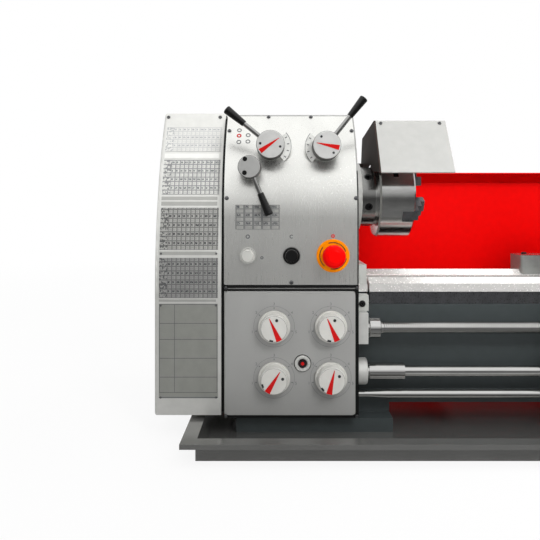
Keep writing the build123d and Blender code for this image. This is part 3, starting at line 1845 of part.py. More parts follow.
# Tailstock clamp lever at the back
clamp_hub = 34
clamp_reach = 95
clamp_direction = (math.cos(math.radians(60)), 0, math.sin(math.radians(60)))
with BuildPart() as tailstock_clamp:
    foot = column_half + clear_gap
    rod(clamp_at, along_y, foot - clamp_depth, foot, clamp_radius)
    rod(clamp_at, along_y, foot, foot + clamp_hub, wheel_hub_radius)
    middle = moved(clamp_at, along_y, foot + clamp_hub / 2)
    rod(middle, clamp_direction, 0, clamp_reach, spoke_radius)
    with Locations(moved(middle, clamp_direction, clamp_reach)):
        Sphere(ball_radius)
save(tailstock_clamp, "tailstock_clamp")
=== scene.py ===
import math

import bmesh
import bpy
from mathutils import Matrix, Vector


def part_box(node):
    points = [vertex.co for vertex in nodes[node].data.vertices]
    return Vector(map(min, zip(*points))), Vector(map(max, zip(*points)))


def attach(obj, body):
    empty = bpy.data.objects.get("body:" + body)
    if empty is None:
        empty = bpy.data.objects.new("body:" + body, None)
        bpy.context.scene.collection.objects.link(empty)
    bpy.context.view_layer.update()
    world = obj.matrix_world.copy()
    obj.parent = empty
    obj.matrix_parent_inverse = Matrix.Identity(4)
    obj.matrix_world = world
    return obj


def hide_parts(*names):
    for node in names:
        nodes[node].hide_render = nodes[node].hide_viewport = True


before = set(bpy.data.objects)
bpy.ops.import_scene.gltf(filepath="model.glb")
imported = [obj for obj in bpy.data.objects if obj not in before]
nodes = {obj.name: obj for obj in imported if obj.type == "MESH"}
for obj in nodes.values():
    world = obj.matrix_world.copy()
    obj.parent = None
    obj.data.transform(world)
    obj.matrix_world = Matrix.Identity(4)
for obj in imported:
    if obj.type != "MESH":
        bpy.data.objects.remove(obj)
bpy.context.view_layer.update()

# Directions
along_bed = (1, 0, 0)
to_front = (0, -1, 0)
upward = (0, 0, 1)

# Sizes shared with the solids, in metres
head_left = -0.770
head_right = -0.534
head_top = 0.580
panel_front = -0.150
lean_start = 0.390
lean_depth = 0.0812
cover_left = -0.892
cover_right = -0.775
cover_top = 0.585
cover_lean_start = 0.256
cover_lean_depth = 0.0945
saddle_top = 0.3042
guard_left = head_right + 0.042

# Where the finish of a solid changes: the gearbox case's lip, above which the case is painted darker as
# shade; the foot of the ways, above which they are near-white, partly a painted highlight; the guard's left
# side, painted dark as shade
case_lip_shade = 0.2583
ways_bottom = 0.2488
guard_shade_limit = guard_left + 0.0027

# Thickness of print, plates and other thin pieces
thin = 0.0004


def arc_radius(rise, depth):
    """Radius of the arc that leaves an upright face and leans back by a depth over a rise."""
    return (rise**2 + depth**2) / (2 * depth)


lean_radius = arc_radius(head_top - lean_start, lean_depth)
cover_lean = (cover_lean_start, arc_radius(cover_top - cover_lean_start, cover_lean_depth))


def lean_y(z, start=lean_start, radius=lean_radius):
    """Front of a leaning face at a height."""
    rise = max(0.0, z - start)
    return panel_front + radius - math.sqrt(radius**2 - rise**2)


def lean_slope(z, start=lean_start, radius=lean_radius):
    """Outward direction of a leaning face at a height."""
    rise = max(0.0, z - start)
    return Vector((0, -math.sqrt(radius**2 - rise**2) / radius, rise / radius))


def linear(shade):
    """A colour written as six hexadecimal digits, as linear values."""
    values = [int(shade[place : place + 2], 16) / 255 for place in (0, 2, 4)]
    return [v / 12.92 if v < 0.04045 else ((v + 0.055) / 1.055) ** 2.4 for v in values] + [1.0]


class Nodes:
    """A node tree, with short ways to add nodes and to join them."""

    def __init__(self, tree):
        self.tree = tree

    def put(self, node, values):
        """Link the sockets of a node, or set them to plain values."""
        for key, value in values.items():
            if isinstance(value, bpy.types.NodeSocket):
                self.tree.links.new(value, node.inputs[key])
            else:
                node.inputs[key].default_value = value

    def add(self, kind, values, **settings):
        """A new node with its settings and the values of its sockets."""
        node = self.tree.nodes.new(kind)
        for key, value in settings.items():
            setattr(node, key, value)
        self.put(node, values)
        return node

    def math(self, operation, first, second=0.0):
        """A number worked out from two others."""
        return self.add("ShaderNodeMath", {0: first, 1: second}, operation=operation).outputs[0]

    def times(self, *masks):
        """Several masks multiplied together."""
        result = masks[0]
        for mask in masks[1:]:
            result = self.math("MULTIPLY", result, mask)
        return result

    def vector(self, operation, first, second=(0, 0, 0)):
        """A number or a vector worked out from two vectors."""
        outputs = self.add("ShaderNodeVectorMath", {0: first, 1: second}, operation=operation).outputs
        return outputs["Value"] if operation in ("LENGTH", "DOT_PRODUCT") else outputs["Vector"]

    def mix(self, factor, first, second):
        """A number between two others."""
        values = {"Factor": factor, "A": first, "B": second}
        return self.add("ShaderNodeMix", values, data_type="FLOAT").outputs["Result"]

    def blend(self, factor, first, second, kind="MIX"):
        """A colour made of two others. The colour sockets go by number, as their names repeat."""
        values = {0: factor, 6: first, 7: second}
        return self.add("ShaderNodeMix", values, data_type="RGBA", blend_type=kind).outputs[2]

    def ramp(self, value, low, high, start=0.0, end=1.0):
        """A value carried from one range to another and held at the ends."""
        values = {"Value": value, "From Min": low, "From Max": high, "To Min": start, "To Max": end}
        return self.add("ShaderNodeMapRange", values, clamp=True).outputs["Result"]

    def grey(self, value):
        """A grey of one brightness, as a colour."""
        return self.add("ShaderNodeCombineColor", {0: value, 1: value, 2: value}).outputs[0]

    def rays(self):
        """Masks of the rays seen by the camera, and of those that are mirrored or pass through."""
        path = self.add("ShaderNodeLightPath", {}).outputs
        return path["Is Camera Ray"], self.math("MAXIMUM", path["Is Glossy Ray"], path["Is Transmission Ray"])


# Where most values of noise lie
noise_low, noise_high = 0.3, 0.7

# Worn edges: their width, the turn of the normal from none to full wear, and the noise that breaks them up
wear_width = 0.0010
wear_turn = (0.01, 0.20)
wear_grain = (140, 140, 140)
wear_gaps = (0.35, 0.65)


class Finish(Nodes):
    """The node tree of one procedural material, laid out in the object's own coordinates."""

    def __init__(self, name):
        self.material = bpy.data.materials.new(name)
        self.material.use_nodes = True
        super().__init__(self.material.node_tree)
        self.shader = self.tree.nodes["Principled BSDF"]
        self.place = self.add("ShaderNodeTexCoord", {}).outputs["Object"]

    def noise(self, stretch, detail=3.0):
        """Noise over the object, with a frequency in waves per metre for each axis."""
        values = {"Vector": self.vector("MULTIPLY", self.place, stretch), "Scale": 1.0, "Detail": detail}
        return self.add("ShaderNodeTexNoise", values).outputs["Fac"]

    def vary(self, noise, start, end):
        """Noise carried to a range of its own."""
        return self.ramp(noise, noise_low, noise_high, start, end)

    def axes(self):
        """The three coordinates of the place."""
        return self.add("ShaderNodeSeparateXYZ", {0: self.place}).outputs

    def edges(self):
        """Mask of the sharp edges, a little broken up."""
        bevel = self.add("ShaderNodeBevel", {"Radius": wear_width}, samples=4)
        normal = self.add("ShaderNodeNewGeometry", {}).outputs["Normal"]
        turn = self.vector("DOT_PRODUCT", bevel.outputs["Normal"], normal)
        sharp = self.ramp(self.math("SUBTRACT", 1.0, turn), *wear_turn)
        return self.times(sharp, self.ramp(self.noise(wear_grain), *wear_gaps))


def beyond(index, limit, sign=1):
    """Zone on one side of a plane."""
    return lambda f: f.math("GREATER_THAN" if sign > 0 else "LESS_THAN", f.axes()[index], limit)


def both(first, second):
    """Zone shared by two zones."""
    return lambda f: f.times(first(f), second(f))


def within(centre, radius, across=(1, 1, 1)):
    """Zone inside a ball or, with one axis left out, a cylinder."""

    def mask(f):
        offset = f.vector("MULTIPLY", f.vector("SUBTRACT", f.place, centre), across)
        return f.math("LESS_THAN", f.vector("LENGTH", offset), radius)

    return mask


# Engraved lines: their share of a division, and the depth of the skin that shows them
line_share = 0.20
line_skin = 0.0006


def graduations(along, low, high, centre, radius, count):
    """Zone of fine lines round a cylinder: its axis, its ends on that axis, its middle and its radius."""
    first, second = [index for index in range(3) if index != along]

    def mask(f):
        place = f.axes()
        across = f.math("SUBTRACT", place[first], centre[0])
        beside = f.math("SUBTRACT", place[second], centre[1])
        turns = f.math("MULTIPLY", f.math("ARCTAN2", across, beside), count / (2 * math.pi))
        line = f.math("LESS_THAN", f.math("FRACT", turns), line_share)
        square = f.math("ADD", f.math("MULTIPLY", across, across), f.math("MULTIPLY", beside, beside))
        skin = f.math("GREATER_THAN", square, (radius - line_skin) ** 2)
        ends = both(beyond(along, low), beyond(along, high, -1))(f)
        return f.times(line, skin, ends)

    return mask


bump_depth = 0.0004


def surface(name, shade, metallic=0.0, rough=0.40, grain=(60, 60, 60), mottle=0.04, fine=(900, 900, 900),
            bump=0.03, vary=0.07, wear="d8d8d4", wear_amount=0.5, gloss=0.5, coat=0.0, zones=()):
    """A procedural finish: mottled colour, fine grain in roughness and bump, worn edges, and zones.

    A zone is a mask with a shade, a metallic value and a roughness of its own.
    """
    f = Finish(name)
    colour, metal, roughness = linear(shade), metallic, rough
    for mask, (zone_shade, zone_metal, zone_rough) in zones:
        factor = mask(f)
        colour = f.blend(factor, colour, linear(zone_shade))
        metal = f.mix(factor, metal, zone_metal)
        roughness = f.mix(factor, roughness, zone_rough)
    tint = f.vary(f.noise(grain), 1.0 - mottle, 1.0 + mottle)
    colour = f.blend(1.0, colour, f.grey(tint), "MULTIPLY")
    edge = f.math("MULTIPLY", f.edges(), wear_amount)
    colour = f.blend(edge, colour, linear(wear))
    streak = f.noise(fine, detail=2.0)
    roughness = f.math("ADD", roughness, f.vary(streak, -vary, vary))
    height = f.add("ShaderNodeBump", {"Strength": bump, "Distance": bump_depth, "Height": streak})
    f.put(f.shader, {
        "Base Color": colour,
        "Metallic": metal,
        "Roughness": roughness,
        "Specular IOR Level": gloss,
        "Coat Weight": coat,
        "Normal": height.outputs["Normal"],
    })
    return f.material


# Printed tables: widths as shares of a field, then how the print breaks up and fades
rule_share = 0.24
dash_start = 0.15
dash_ends = (0.45, 0.85)
faint_row = 0.25
dash_grain, dash_gaps = (1300, 1300, 700), 0.42
blot_grain, blot_gaps, blot_strength = (330, 330, 240), 0.55, 0.8
paper_grain, paper_stain, stain_strength = (40, 40, 40), "b9b9b4", 0.25
paper_metal = 0.35
paper_rough, paper_rough_grain = (0.35, 0.5), (300, 300, 300)


def chart(name, paper, ink, origin, cell, rule_strength, dash_half, margin=0.0):
    """A printed table: ruled fields with a short unreadable dash in each, and a margin of small blots."""
    f = Finish(name)
    place = f.axes()
    across = f.math("SUBTRACT", place[0], origin[0] + margin)
    above = f.math("SUBTRACT", place[2], origin[1])
    inside = f.math("GREATER_THAN", across, 0.0)
    columns = f.math("DIVIDE", across, cell[0])
    rows = f.math("DIVIDE", above, cell[1])
    column = f.math("FRACT", columns)
    off_column = f.math("ABSOLUTE", f.math("SUBTRACT", column, 0.5))
    off_row = f.math("ABSOLUTE", f.math("SUBTRACT", f.math("FRACT", rows), 0.5))

    upright = f.times(f.math("GREATER_THAN", off_column, 0.5 - rule_share / 2), inside)
    level = f.math("GREATER_THAN", off_row, 0.5 - rule_share / 2)
    rule = f.math("MULTIPLY", f.math("MAXIMUM", upright, level), rule_strength)

    row = f.math("FLOOR", rows)
    field = f.add("ShaderNodeCombineXYZ", {0: f.math("FLOOR", columns), 1: row})
    chance = f.add("ShaderNodeTexWhiteNoise", {"Vector": field.outputs[0]}, noise_dimensions="2D")
    dash_end = f.ramp(chance.outputs["Value"], 0.0, 1.0, *dash_ends)
    begun = f.math("GREATER_THAN", column, dash_start)
    not_ended = f.math("LESS_THAN", column, dash_end)
    near_middle = f.math("LESS_THAN", off_row, dash_half)
    odd_row = f.math("FLOORED_MODULO", row, 2.0)
    strength = f.ramp(odd_row, 0.0, 1.0, faint_row, 1.0)
    broken = f.math("GREATER_THAN", f.noise(dash_grain, detail=1.0), dash_gaps)
    dash = f.times(begun, not_ended, near_middle, strength, broken, inside)

    blots = f.math("GREATER_THAN", f.noise(blot_grain, detail=1.0), blot_gaps)
    blots = f.times(blots, f.math("SUBTRACT", 1.0, inside), blot_strength)
    printed = f.math("MAXIMUM", f.math("MAXIMUM", dash, blots), rule)
    stain = f.vary(f.noise(paper_grain), 0.0, stain_strength)
    colour = f.blend(stain, linear(paper), linear(paper_stain))
    f.put(f.shader, {
        "Base Color": f.blend(printed, colour, linear(ink)),
        "Metallic": f.math("MULTIPLY", f.math("SUBTRACT", 1.0, printed), paper_metal),
        "Roughness": f.vary(f.noise(paper_rough_grain), *paper_rough),
    })
    return f.material


# Materials of the solids
paint_grey = surface("paint_grey", "b4b5b1", mottle=0.05, bump=0.10, wear="8f8f8c", coat=0.1)
# Painted shade: the gearbox case is darker grey above its lip, in the gap under the headstock panel
case_shaded_finish = surface("case_shaded_paint", "b4b5b1", mottle=0.05, bump=0.10, wear="8f8f8c", coat=0.1,
                      zones=[(beyond(2, case_lip_shade), ("6a6a68", 0.1, 0.45))])
cover_satin = surface("cover_satin", "bcbcb9", metallic=0.25, rough=0.38, mottle=0.05, bump=0.06)
paint_cover = surface("paint_cover", "e0e0dc", metallic=0.6, rough=0.42, bump=0.08, wear="e4e4e0")
# Painted shade on the headstock panel's edges: grey along the top and the right edge, and a dark painted
# shadow down the right edge below a height
panel_top_shade = head_top - 0.0030
panel_side_shade = head_right - 0.0026
side_shadow_top = 0.470
panel_edge_shades = [
    (beyond(2, panel_top_shade), ("a8a8a6", 0.6, 0.45)),
    (beyond(0, panel_side_shade), ("a0a09e", 0.6, 0.45)),
    (both(beyond(0, panel_side_shade), beyond(2, side_shadow_top, -1)), ("242423", 0.1, 0.5)),
]
brushed = surface("brushed_panel", "e6e6e2", metallic=0.88, rough=0.32, grain=(25, 25, 9),
                  fine=(1500, 1500, 30), bump=0.06, wear="f0f0ec", zones=panel_edge_shades)
satin = surface("satin_panel", "9b9b99", metallic=0.12, rough=0.44, grain=(18, 18, 12),
                fine=(1400, 1400, 60), bump=0.05, wear="c6c6c2")
ground = surface("ground_steel", "b9b9b7", metallic=1.0, rough=0.17, grain=(30, 90, 90), mottle=0.10,
                 fine=(90, 1700, 1700), bump=0.04, wear="e4e4e0")
machined = surface("machined_steel", "7c7d80", metallic=1.0, rough=0.32, grain=(70, 70, 70), mottle=0.14,
                   fine=(1200, 300, 300), bump=0.08, wear="b8b8b6")
blackened = surface("blackened_steel", "1a1a1b", metallic=0.6, rough=0.35, mottle=0.2, bump=0.08,
                    wear="3c3c3c")
nose_steel = surface("nose_steel", "8c8c8a", metallic=1.0, rough=0.20, grain=(30, 90, 90), mottle=0.10,
                     fine=(90, 1200, 1200), wear="d0d0cc")
rod_steel = surface("rod_steel", "c0c0be", metallic=1.0, rough=0.10, grain=(20, 90, 90), mottle=0.06,
                    fine=(60, 900, 900), bump=0.01, vary=0.03, wear="e4e4e0")
bearing = surface("bearing_steel", "b8b9bc", metallic=1.0, rough=0.18, mottle=0.08, fine=(200, 900, 900))
tray_paint = surface("tray_finish", "8c8c8a", metallic=0.75, rough=0.24, mottle=0.06, grain=(14, 14, 14),
                     fine=(120, 40, 120), bump=0.02, vary=0.03, wear="c8c8c4")
red_paint = surface("red_paint", "ee0000", rough=0.55, mottle=0.03, bump=0.05, wear="e8463c",
                    wear_amount=0.3, gloss=0.1)
# Painted shade: the guard's left wall is dark and its front light grey; its reddish worn edges are a painted
# reflection of the red splash guard
guard_painted_shade_and_glint = surface("guard_painted_shade_and_glint", "3c3532", rough=0.60, mottle=0.03, bump=0.05, wear="8a4a44",
                      gloss=0.05, zones=[(beyond(0, guard_shade_limit), ("b4b4b1", 0.4, 0.38))])
# The bed's ways are near-white ground steel, their brightness partly a painted highlight
bed_finish = surface("bed_iron", "3c4243", metallic=0.1, rough=0.5, mottle=0.06, fine=(300, 300, 300),
                     bump=0.01, vary=0.02, wear="6c7070",
                     zones=[(beyond(2, ways_bottom), ("efedea", 0.50, 0.26))])
saddle_skin = 0.0007
saddle_finish = surface("saddle_iron", "8e908d", metallic=0.2, rough=0.46, mottle=0.10, bump=0.16,
                        wear="bcbcb8",
                        zones=[(beyond(2, saddle_top - saddle_skin), ("b8b8b4", 0.95, 0.24))])
motor_paint = surface("motor_paint", "4c5655", rough=0.45, mottle=0.08, bump=0.14, wear="8c9290")
belt_rubber = surface("belt_rubber", "161616", rough=0.75, mottle=0.2, fine=(900, 200, 900), bump=0.3,
                      wear="2c2c2c")
grip_black = surface("grip_black", "080808", rough=0.27, mottle=0.2, grain=(120, 120, 120), bump=0.05,
                     wear="1c1c1c", gloss=0.45)
dial_white = surface("dial_white", "c6c5c0", rough=0.34, mottle=0.03, wear="e6e6e2", coat=0.12)
button_white = surface("button_white", "bebeb9", rough=0.36, wear="e8e8e4", coat=0.1)
button_black = surface("button_black", "0a0a0a", mottle=0.2, bump=0.04, wear="222222", gloss=0.3)
stop_red = surface("stop_red", "ee0100", wear="f03a30", gloss=0.06)
glass_rim = surface("glass_rim", "dcdcd8", metallic=0.5, rough=0.30, wear="8a8a88")

# Materials of the pieces added here
stop_yellow = surface("stop_yellow", "f48c02", rough=0.45, bump=0.05, wear="f4b040", gloss=0.05)
# Black rubber of the panel seals, also used as painted shade in the gap beside the end cover and in the feed
# lever's hub
black_rubber_and_shade = surface("black_gasket_and_shade", "0b0b0b", rough=0.6, mottle=0.2, bump=0.2, wear="1c1c1c", gloss=0.25)
print_red = surface("print_red", "c00202", rough=0.42, mottle=0.08, wear="d02820", wear_amount=0.2,
                    gloss=0.25)
# Black print, also used for the painted shade round the dials' faces
print_black_and_shade = surface("print_black_and_shade", "1c1e22", rough=0.45, mottle=0.15, wear="3c3e42", wear_amount=0.2)
print_grey = surface("print_grey", "66686a", rough=0.45, mottle=0.08, wear="848484", wear_amount=0.2)
index_white = surface("index_white", "eaeae6", metallic=0.1, mottle=0.03, wear="a8a8a6")
bar_white = surface("bar_white", "f0f0ec", metallic=0.5, rough=0.36, mottle=0.03, bump=0.04, wear="dcdcd8")
# Painted shade: a darker copy of the white bar, for the lower bars
bar_in_painted_shade = surface("bar_in_painted_shade", "aeaeaa", metallic=0.4, rough=0.36, mottle=0.03, bump=0.04, wear="dcdcd8")
plate_grey = surface("plate_grey", "a6a7a1", metallic=0.6, rough=0.42, mottle=0.05, bump=0.04,
                     wear="bebeb8")
screw_steel = surface("screw_steel", "77787a", metallic=1.0, rough=0.30, mottle=0.12, bump=0.05,
                      wear="c4c4c2")
window_dark = surface("window_dark", "1a0a0a", rough=0.10, mottle=0.3, bump=0.02, wear="302020", coat=0.8)

# Levers of the headstock: place, radius and length of each hub, and the margins of its zones of colour
left_lever_at = (head_left + 0.0814, 0.5137)
right_lever_at = (head_left + 0.1791, 0.5120)
feed_lever_at = (head_left + 0.0451, 0.4742)
speed_hub, speed_hub_length = 0.0245, 0.034
feed_hub, feed_hub_length = 0.0195, 0.032
hub_stand = 0.0024
hub_skin = 0.0006
hub_face_depth = 0.0009


def hub_face(z, radius, length):
    """Front of a lever's hub, which stands off the panel's lowest point behind it."""
    return lean_y(z - radius) - hub_stand - length


def lever_hub_shade_finish(name, x, z, radius, length, face_shade):
    """A satin grey face on a hub whose side is painted dark as shade, and a bright arm."""
    hub = within((x, 0, z), radius + hub_skin, (1, 0, 1))
    face = both(hub, beyond(1, hub_face(z, radius, length) + hub_face_depth, -1))
    # Painted shade: the hub's side is dark grey and its face light, one metal in a lit and a shaded copy
    return surface(name, "a4a4a2", metallic=1.0, rough=0.16, mottle=0.05, fine=(700, 700, 700), bump=0.02,
                   wear="e0e0de", zones=[(hub, ("4a4a48", 0.5, 0.42)), (face, (face_shade, 0.25, 0.40))])


def handle_finish(name, *black_zones):
    """Polished steel with black ends or lines inside the zones given."""
    return surface(name, "c8c8c8", metallic=1.0, rough=0.20, mottle=0.06, fine=(600, 600, 600),
                   wear="f4f4f2", zones=[(zone, ("0c0c0c", 0.0, 0.28)) for zone in black_zones])


# Black balls and handles of the polished levers and handwheels
ball_radius = 0.0116
half_nut_ball = (0.109, -0.1894, 0.1375)
control_ball = (0.175, -0.2282, 0.098)
post_ball = (0.0236, -0.0639, 0.5001)
clamp_ball = (0.6275, 0.0534, 0.4543)
wheel_handle_start = -0.2125
tail_handle_start = 0.7125
crank_handle = 0.046

# Engraved collars of the two slide screws, by distance from the end of the handle, and the swivel
collar_radius = 0.022
collar_near, collar_far = 0.066, 0.078
collar_divisions = 50
cross_axis = (0, 0.2882)
top_axis = (0, 0.3732)
cross_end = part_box("cross_handle")[0].y
top_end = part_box("top_slide_handle")[1].x
cross_lines = graduations(1, cross_end + collar_near, cross_end + collar_far, cross_axis, collar_radius,
                          collar_divisions)
top_lines = graduations(0, top_end - collar_far, top_end - collar_near, top_axis, collar_radius,
                        collar_divisions)
swivel_low, swivel_high = 0.338, 0.3442
swivel_axis = (0, 0)
swivel_radius = 0.050
swivel_divisions = 90
swivel_lines = graduations(2, swivel_low, swivel_high, swivel_axis, swivel_radius, swivel_divisions)
swivel_finish = surface("swivel_steel", "b9b9b7", metallic=1.0, rough=0.20, grain=(30, 90, 90), mottle=0.08,
                        fine=(90, 1700, 1700), bump=0.04, wear="e4e4e0",
                        zones=[(swivel_lines, ("101010", 0.0, 0.4))])

# Finish of each solid
left_finish = lever_hub_shade_finish("left_lever_finish", *left_lever_at, speed_hub, speed_hub_length, "c6c6c4")
right_finish = lever_hub_shade_finish("right_lever_finish", *right_lever_at, speed_hub, speed_hub_length, "c6c6c4")
feed_finish = lever_hub_shade_finish("feed_lever_finish", *feed_lever_at, feed_hub, feed_hub_length, "a6a6a4")
finishes = [
    (tray_paint, ["chip_tray"]),
    (red_paint, ["splash_guard"]),
    (bed_finish, ["bed"]),
    (paint_grey, ["headstock_casting", "headstock_cover", "tail_bracket", "apron", "tailstock"]),
    (brushed, ["headstock_panel"]),
    (case_shaded_finish, ["gearbox_case"]),
    (satin, ["gearbox_panel"]),
    (bearing, ["spindle_bearings"]),
    (cover_satin, ["bearing_covers"]),
    (glass_rim, ["sight_glass"]),
    (belt_rubber, ["drive_belt"]),
    (motor_paint, ["motor"]),
    (paint_cover, ["end_cover"]),
    (nose_steel, ["spindle"]),
    (blackened, ["camlock_cams"]),
    (ground, ["chuck_body", "cross_slide", "top_slide", "tailstock_quill"]),
    (machined, ["chuck_jaw_1", "chuck_jaw_2", "chuck_jaw_3", "toolpost"]),
    (machined, ["quadrant", "stud_gear", "idler_gear", "gearbox_gear", "input_pulley", "motor_pulley"]),
    (left_finish, ["left_lever"]),
    (right_finish, ["right_lever"]),
    (feed_finish, ["feed_lever"]),
    (grip_black, ["left_lever_grip", "right_lever_grip", "feed_lever_grip"]),
    (dial_white, ["gear_dial_1", "gear_dial_2", "gear_dial_3", "gear_dial_4"]),
    (button_white, ["start_button"]),
    (button_black, ["jog_button"]),
    (stop_red, ["e_stop_button"]),
    (rod_steel, ["leadscrew", "feed_rod", "control_rod"]),
    (saddle_finish, ["saddle"]),
    (swivel_finish, ["compound_base"]),
    (guard_painted_shade_and_glint, ["chuck_guard"]),
    (handle_finish("wheel_finish", beyond(1, wheel_handle_start, -1)), ["carriage_handwheel"]),
    (handle_finish("half_nut_finish", within(half_nut_ball, ball_radius)), ["half_nut_lever"]),
    (handle_finish("control_finish", within(control_ball, ball_radius)), ["control_lever"]),
    (handle_finish("cross_finish", beyond(1, cross_end + crank_handle, -1), cross_lines), ["cross_handle"]),
    (handle_finish("top_finish", beyond(0, top_end - crank_handle), top_lines), ["top_slide_handle"]),
    (handle_finish("post_finish", within(post_ball, ball_radius)), ["toolpost_lever"]),
    (handle_finish("tail_finish", beyond(0, tail_handle_start)), ["tailstock_handwheel"]),
    (handle_finish("clamp_finish", within(clamp_ball, ball_radius)), ["tailstock_clamp"]),
]
for material, names in finishes:
    for name in names:
        nodes[name].data.materials.clear()
        nodes[name].data.materials.append(material)

# Faces that meet at a larger angle than this keep a sharp edge
crease = math.radians(35)


def finish_piece(name, shape, material, body, smooth=False):
    """Turn a bmesh into a piece that rides on a body."""
    bmesh.ops.recalc_face_normals(shape, faces=shape.faces)
    for edge in shape.edges:
        edge.smooth = edge.calc_face_angle(0.0) < crease
    mesh = bpy.data.meshes.new(name)
    shape.to_mesh(mesh)
    shape.free()
    mesh.materials.append(material)
    for polygon in mesh.polygons:
        polygon.use_smooth = smooth
    piece = bpy.data.objects.new(name, mesh)
    bpy.context.collection.objects.link(piece)
    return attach(piece, body)


def join_rings(shape, low, high):
    """Faces between two rings of points, one of which may be a single point on the axis."""
    count = max(len(low), len(high))
    for step in range(count):
        after = (step + 1) % count
        if len(low) == 1:
            shape.faces.new((low[0], high[step], high[after]))
        elif len(high) == 1:
            shape.faces.new((low[step], high[0], low[after]))
        else:
            shape.faces.new((low[step], high[step], high[after], low[after]))


def revolve(shape, origin, axis, profile, sides):
    """Add a closed turned form from (distance, radius) points along an axis.

    A profile that starts and ends off the axis makes a ring.
    """
    axis = Vector(axis).normalized()
    first = axis.orthogonal().normalized()
    second = axis.cross(first)
    rings = []
    for distance, radius in profile:
        middle = Vector(origin) + axis * distance
        if radius == 0:
            rings.append([shape.verts.new(middle)])
            continue
        ring = []
        for step in range(sides):
            angle = 2 * math.pi * step / sides
            spoke = first * math.cos(angle) + second * math.sin(angle)
            ring.append(shape.verts.new(middle + spoke * radius))
        rings.append(ring)
    for low, high in zip(rings, rings[1:]):
        join_rings(shape, low, high)
    open_ends = [ring for ring in (rings[0], rings[-1]) if len(ring) > 1]
    if len(open_ends) == 2:
        join_rings(shape, rings[-1], rings[0])
    elif open_ends:
        shape.faces.new(open_ends[0])


def turned_piece(name, origin, axis, profile, sides, material, body, smooth=False):
    """A piece made of one turned form."""
    shape = bmesh.new()
    revolve(shape, origin, axis, profile, sides)
    finish_piece(name, shape, material, body, smooth)


def slab(shape, outline, depth):
    """Add a plate: the points of its outline, and the vector of its thickness."""
    top = [shape.verts.new(Vector(point) + Vector(depth)) for point in outline]
    base = [shape.verts.new(Vector(point)) for point in outline]
    shape.faces.new(top)
    shape.faces.new(list(reversed(base)))
    count = len(outline)
    for step in range(count):
        after = (step + 1) % count
        shape.faces.new((base[step], base[after], top[after], top[step]))


def front_slab(shape, corners, y, thickness):
    """A plate facing the operator, with (x, z) corners."""
    slab(shape, [(x, y, z) for x, z in corners], (0, -thickness, 0))


def front_block(shape, left, right, low, high, y, thickness):
    """An oblong plate facing the operator."""
    front_slab(shape, [(left, low), (right, low), (right, high), (left, high)], y, thickness)


def flat_ring(shape, centre, inner, outer, y, thickness, sides):
    """A whole flat ring facing the operator."""
    section = [(0, inner), (0, outer), (thickness, outer), (thickness, inner)]
    revolve(shape, (centre[0], y, centre[1]), to_front, section, sides)


def arc_points(centre, radius, start, end, steps):
    """Points of an arc in the (x, z) plane, angles in degrees from +x."""
    points = []
    for step in range(steps + 1):
        angle = math.radians(start + (end - start) * step / steps)
        points.append((centre[0] + radius * math.cos(angle), centre[1] + radius * math.sin(angle)))
    return points


def ring_sector(shape, centre, inner, outer, start, end, y, thickness, steps):
    """A flat ring sector facing the operator."""
    corners = arc_points(centre, outer, start, end, steps) + arc_points(centre, inner, end, start, steps)
    front_slab(shape, corners, y, thickness)


def leaning_ring(shape, offset, z, inner, outer):
    """A printed ring on the headstock panel's leaning front."""
    section = [(0, outer), (thin, outer), (thin, inner), (0, inner)]
    revolve(shape, (head_left + offset, lean_y(z), z), lean_slope(z), section, 18)


sheet_step = 0.012


def leaning_sheet(shape, left, right, bottom, top, start, radius, lift):
    """A thin printed plate on a leaning face, with its front lifted off that face."""
    steps = max(2, int((top - bottom) / sheet_step))
    rows = []
    for step in range(steps + 1):
        z = bottom + (top - bottom) * step / steps
        out = lean_slope(z, start, radius)
        y = lean_y(z, start, radius)
        corners = ((left, lift), (right, lift), (right, lift - thin), (left, lift - thin))
        rows.append([shape.verts.new(Vector((x, y, z)) + out * height) for x, height in corners])
    for low, high in zip(rows, rows[1:]):
        join_rings(shape, low, high)
    shape.faces.new(rows[0])
    shape.faces.new(rows[-1])


def cover_sheet(shape, left, right, bottom, top, lift=thin):
    """A printed sheet on the end cover's leaning front."""
    leaning_sheet(shape, left, right, bottom, top, *cover_lean, lift)


# Button head with a socket: height and radius of each step, as shares of the head's radius
screw_profile = [(0, 1), (0.20, 1), (0.55, 0.75), (0.62, 0.42), (0.25, 0.38), (0.25, 0)]


def screw_head(shape, place, normal, radius):
    """A button-head screw with a socket."""
    revolve(shape, place, normal, [(radius * rise, radius * share) for rise, share in screw_profile], 12)


def screw_row(name, places, normal, radius, material, body):
    """Screws of one size that face one way."""
    shape = bmesh.new()
    for place in places:
        screw_head(shape, place, normal, radius)
    finish_piece(name, shape, material, body, True)


# Screws of the headstock panel, by offset and height, and of the gearbox panel
head_screws = [
    (0.0766, 0.575), (0.156, 0.575), (0.0050, 0.5457), (0.2297, 0.5457), (0.0045, 0.421), (0.2315, 0.421),
    (0.118, 0.2733),
]
head_screw_radius = 0.0038
gearbox_screw_radius = 0.0032
gearbox_screw_inset = 0.0030
gearbox_screw_heights = (0.0388, 0.2635)
shape = bmesh.new()
for offset, z in head_screws:
    screw_head(shape, (head_left + offset, lean_y(z), z), lean_slope(z), head_screw_radius)
for x in (head_left + gearbox_screw_inset, head_right - gearbox_screw_inset):
    for z in gearbox_screw_heights:
        screw_head(shape, (x, panel_front, z), to_front, gearbox_screw_radius)
finish_piece("front_screws", shape, screw_steel, "base", True)

# Screws of the end cover
cover_screw_z = 0.577
cover_screw_radius = 0.0036
cover_places = [
    (x, lean_y(cover_screw_z, *cover_lean), cover_screw_z)
    for x in (cover_left + 0.0075, cover_right - 0.0110)
]
cover_slope = lean_slope(cover_screw_z, *cover_lean)
screw_row("cover_screws", cover_places, cover_slope, cover_screw_radius, screw_steel, "end_cover")

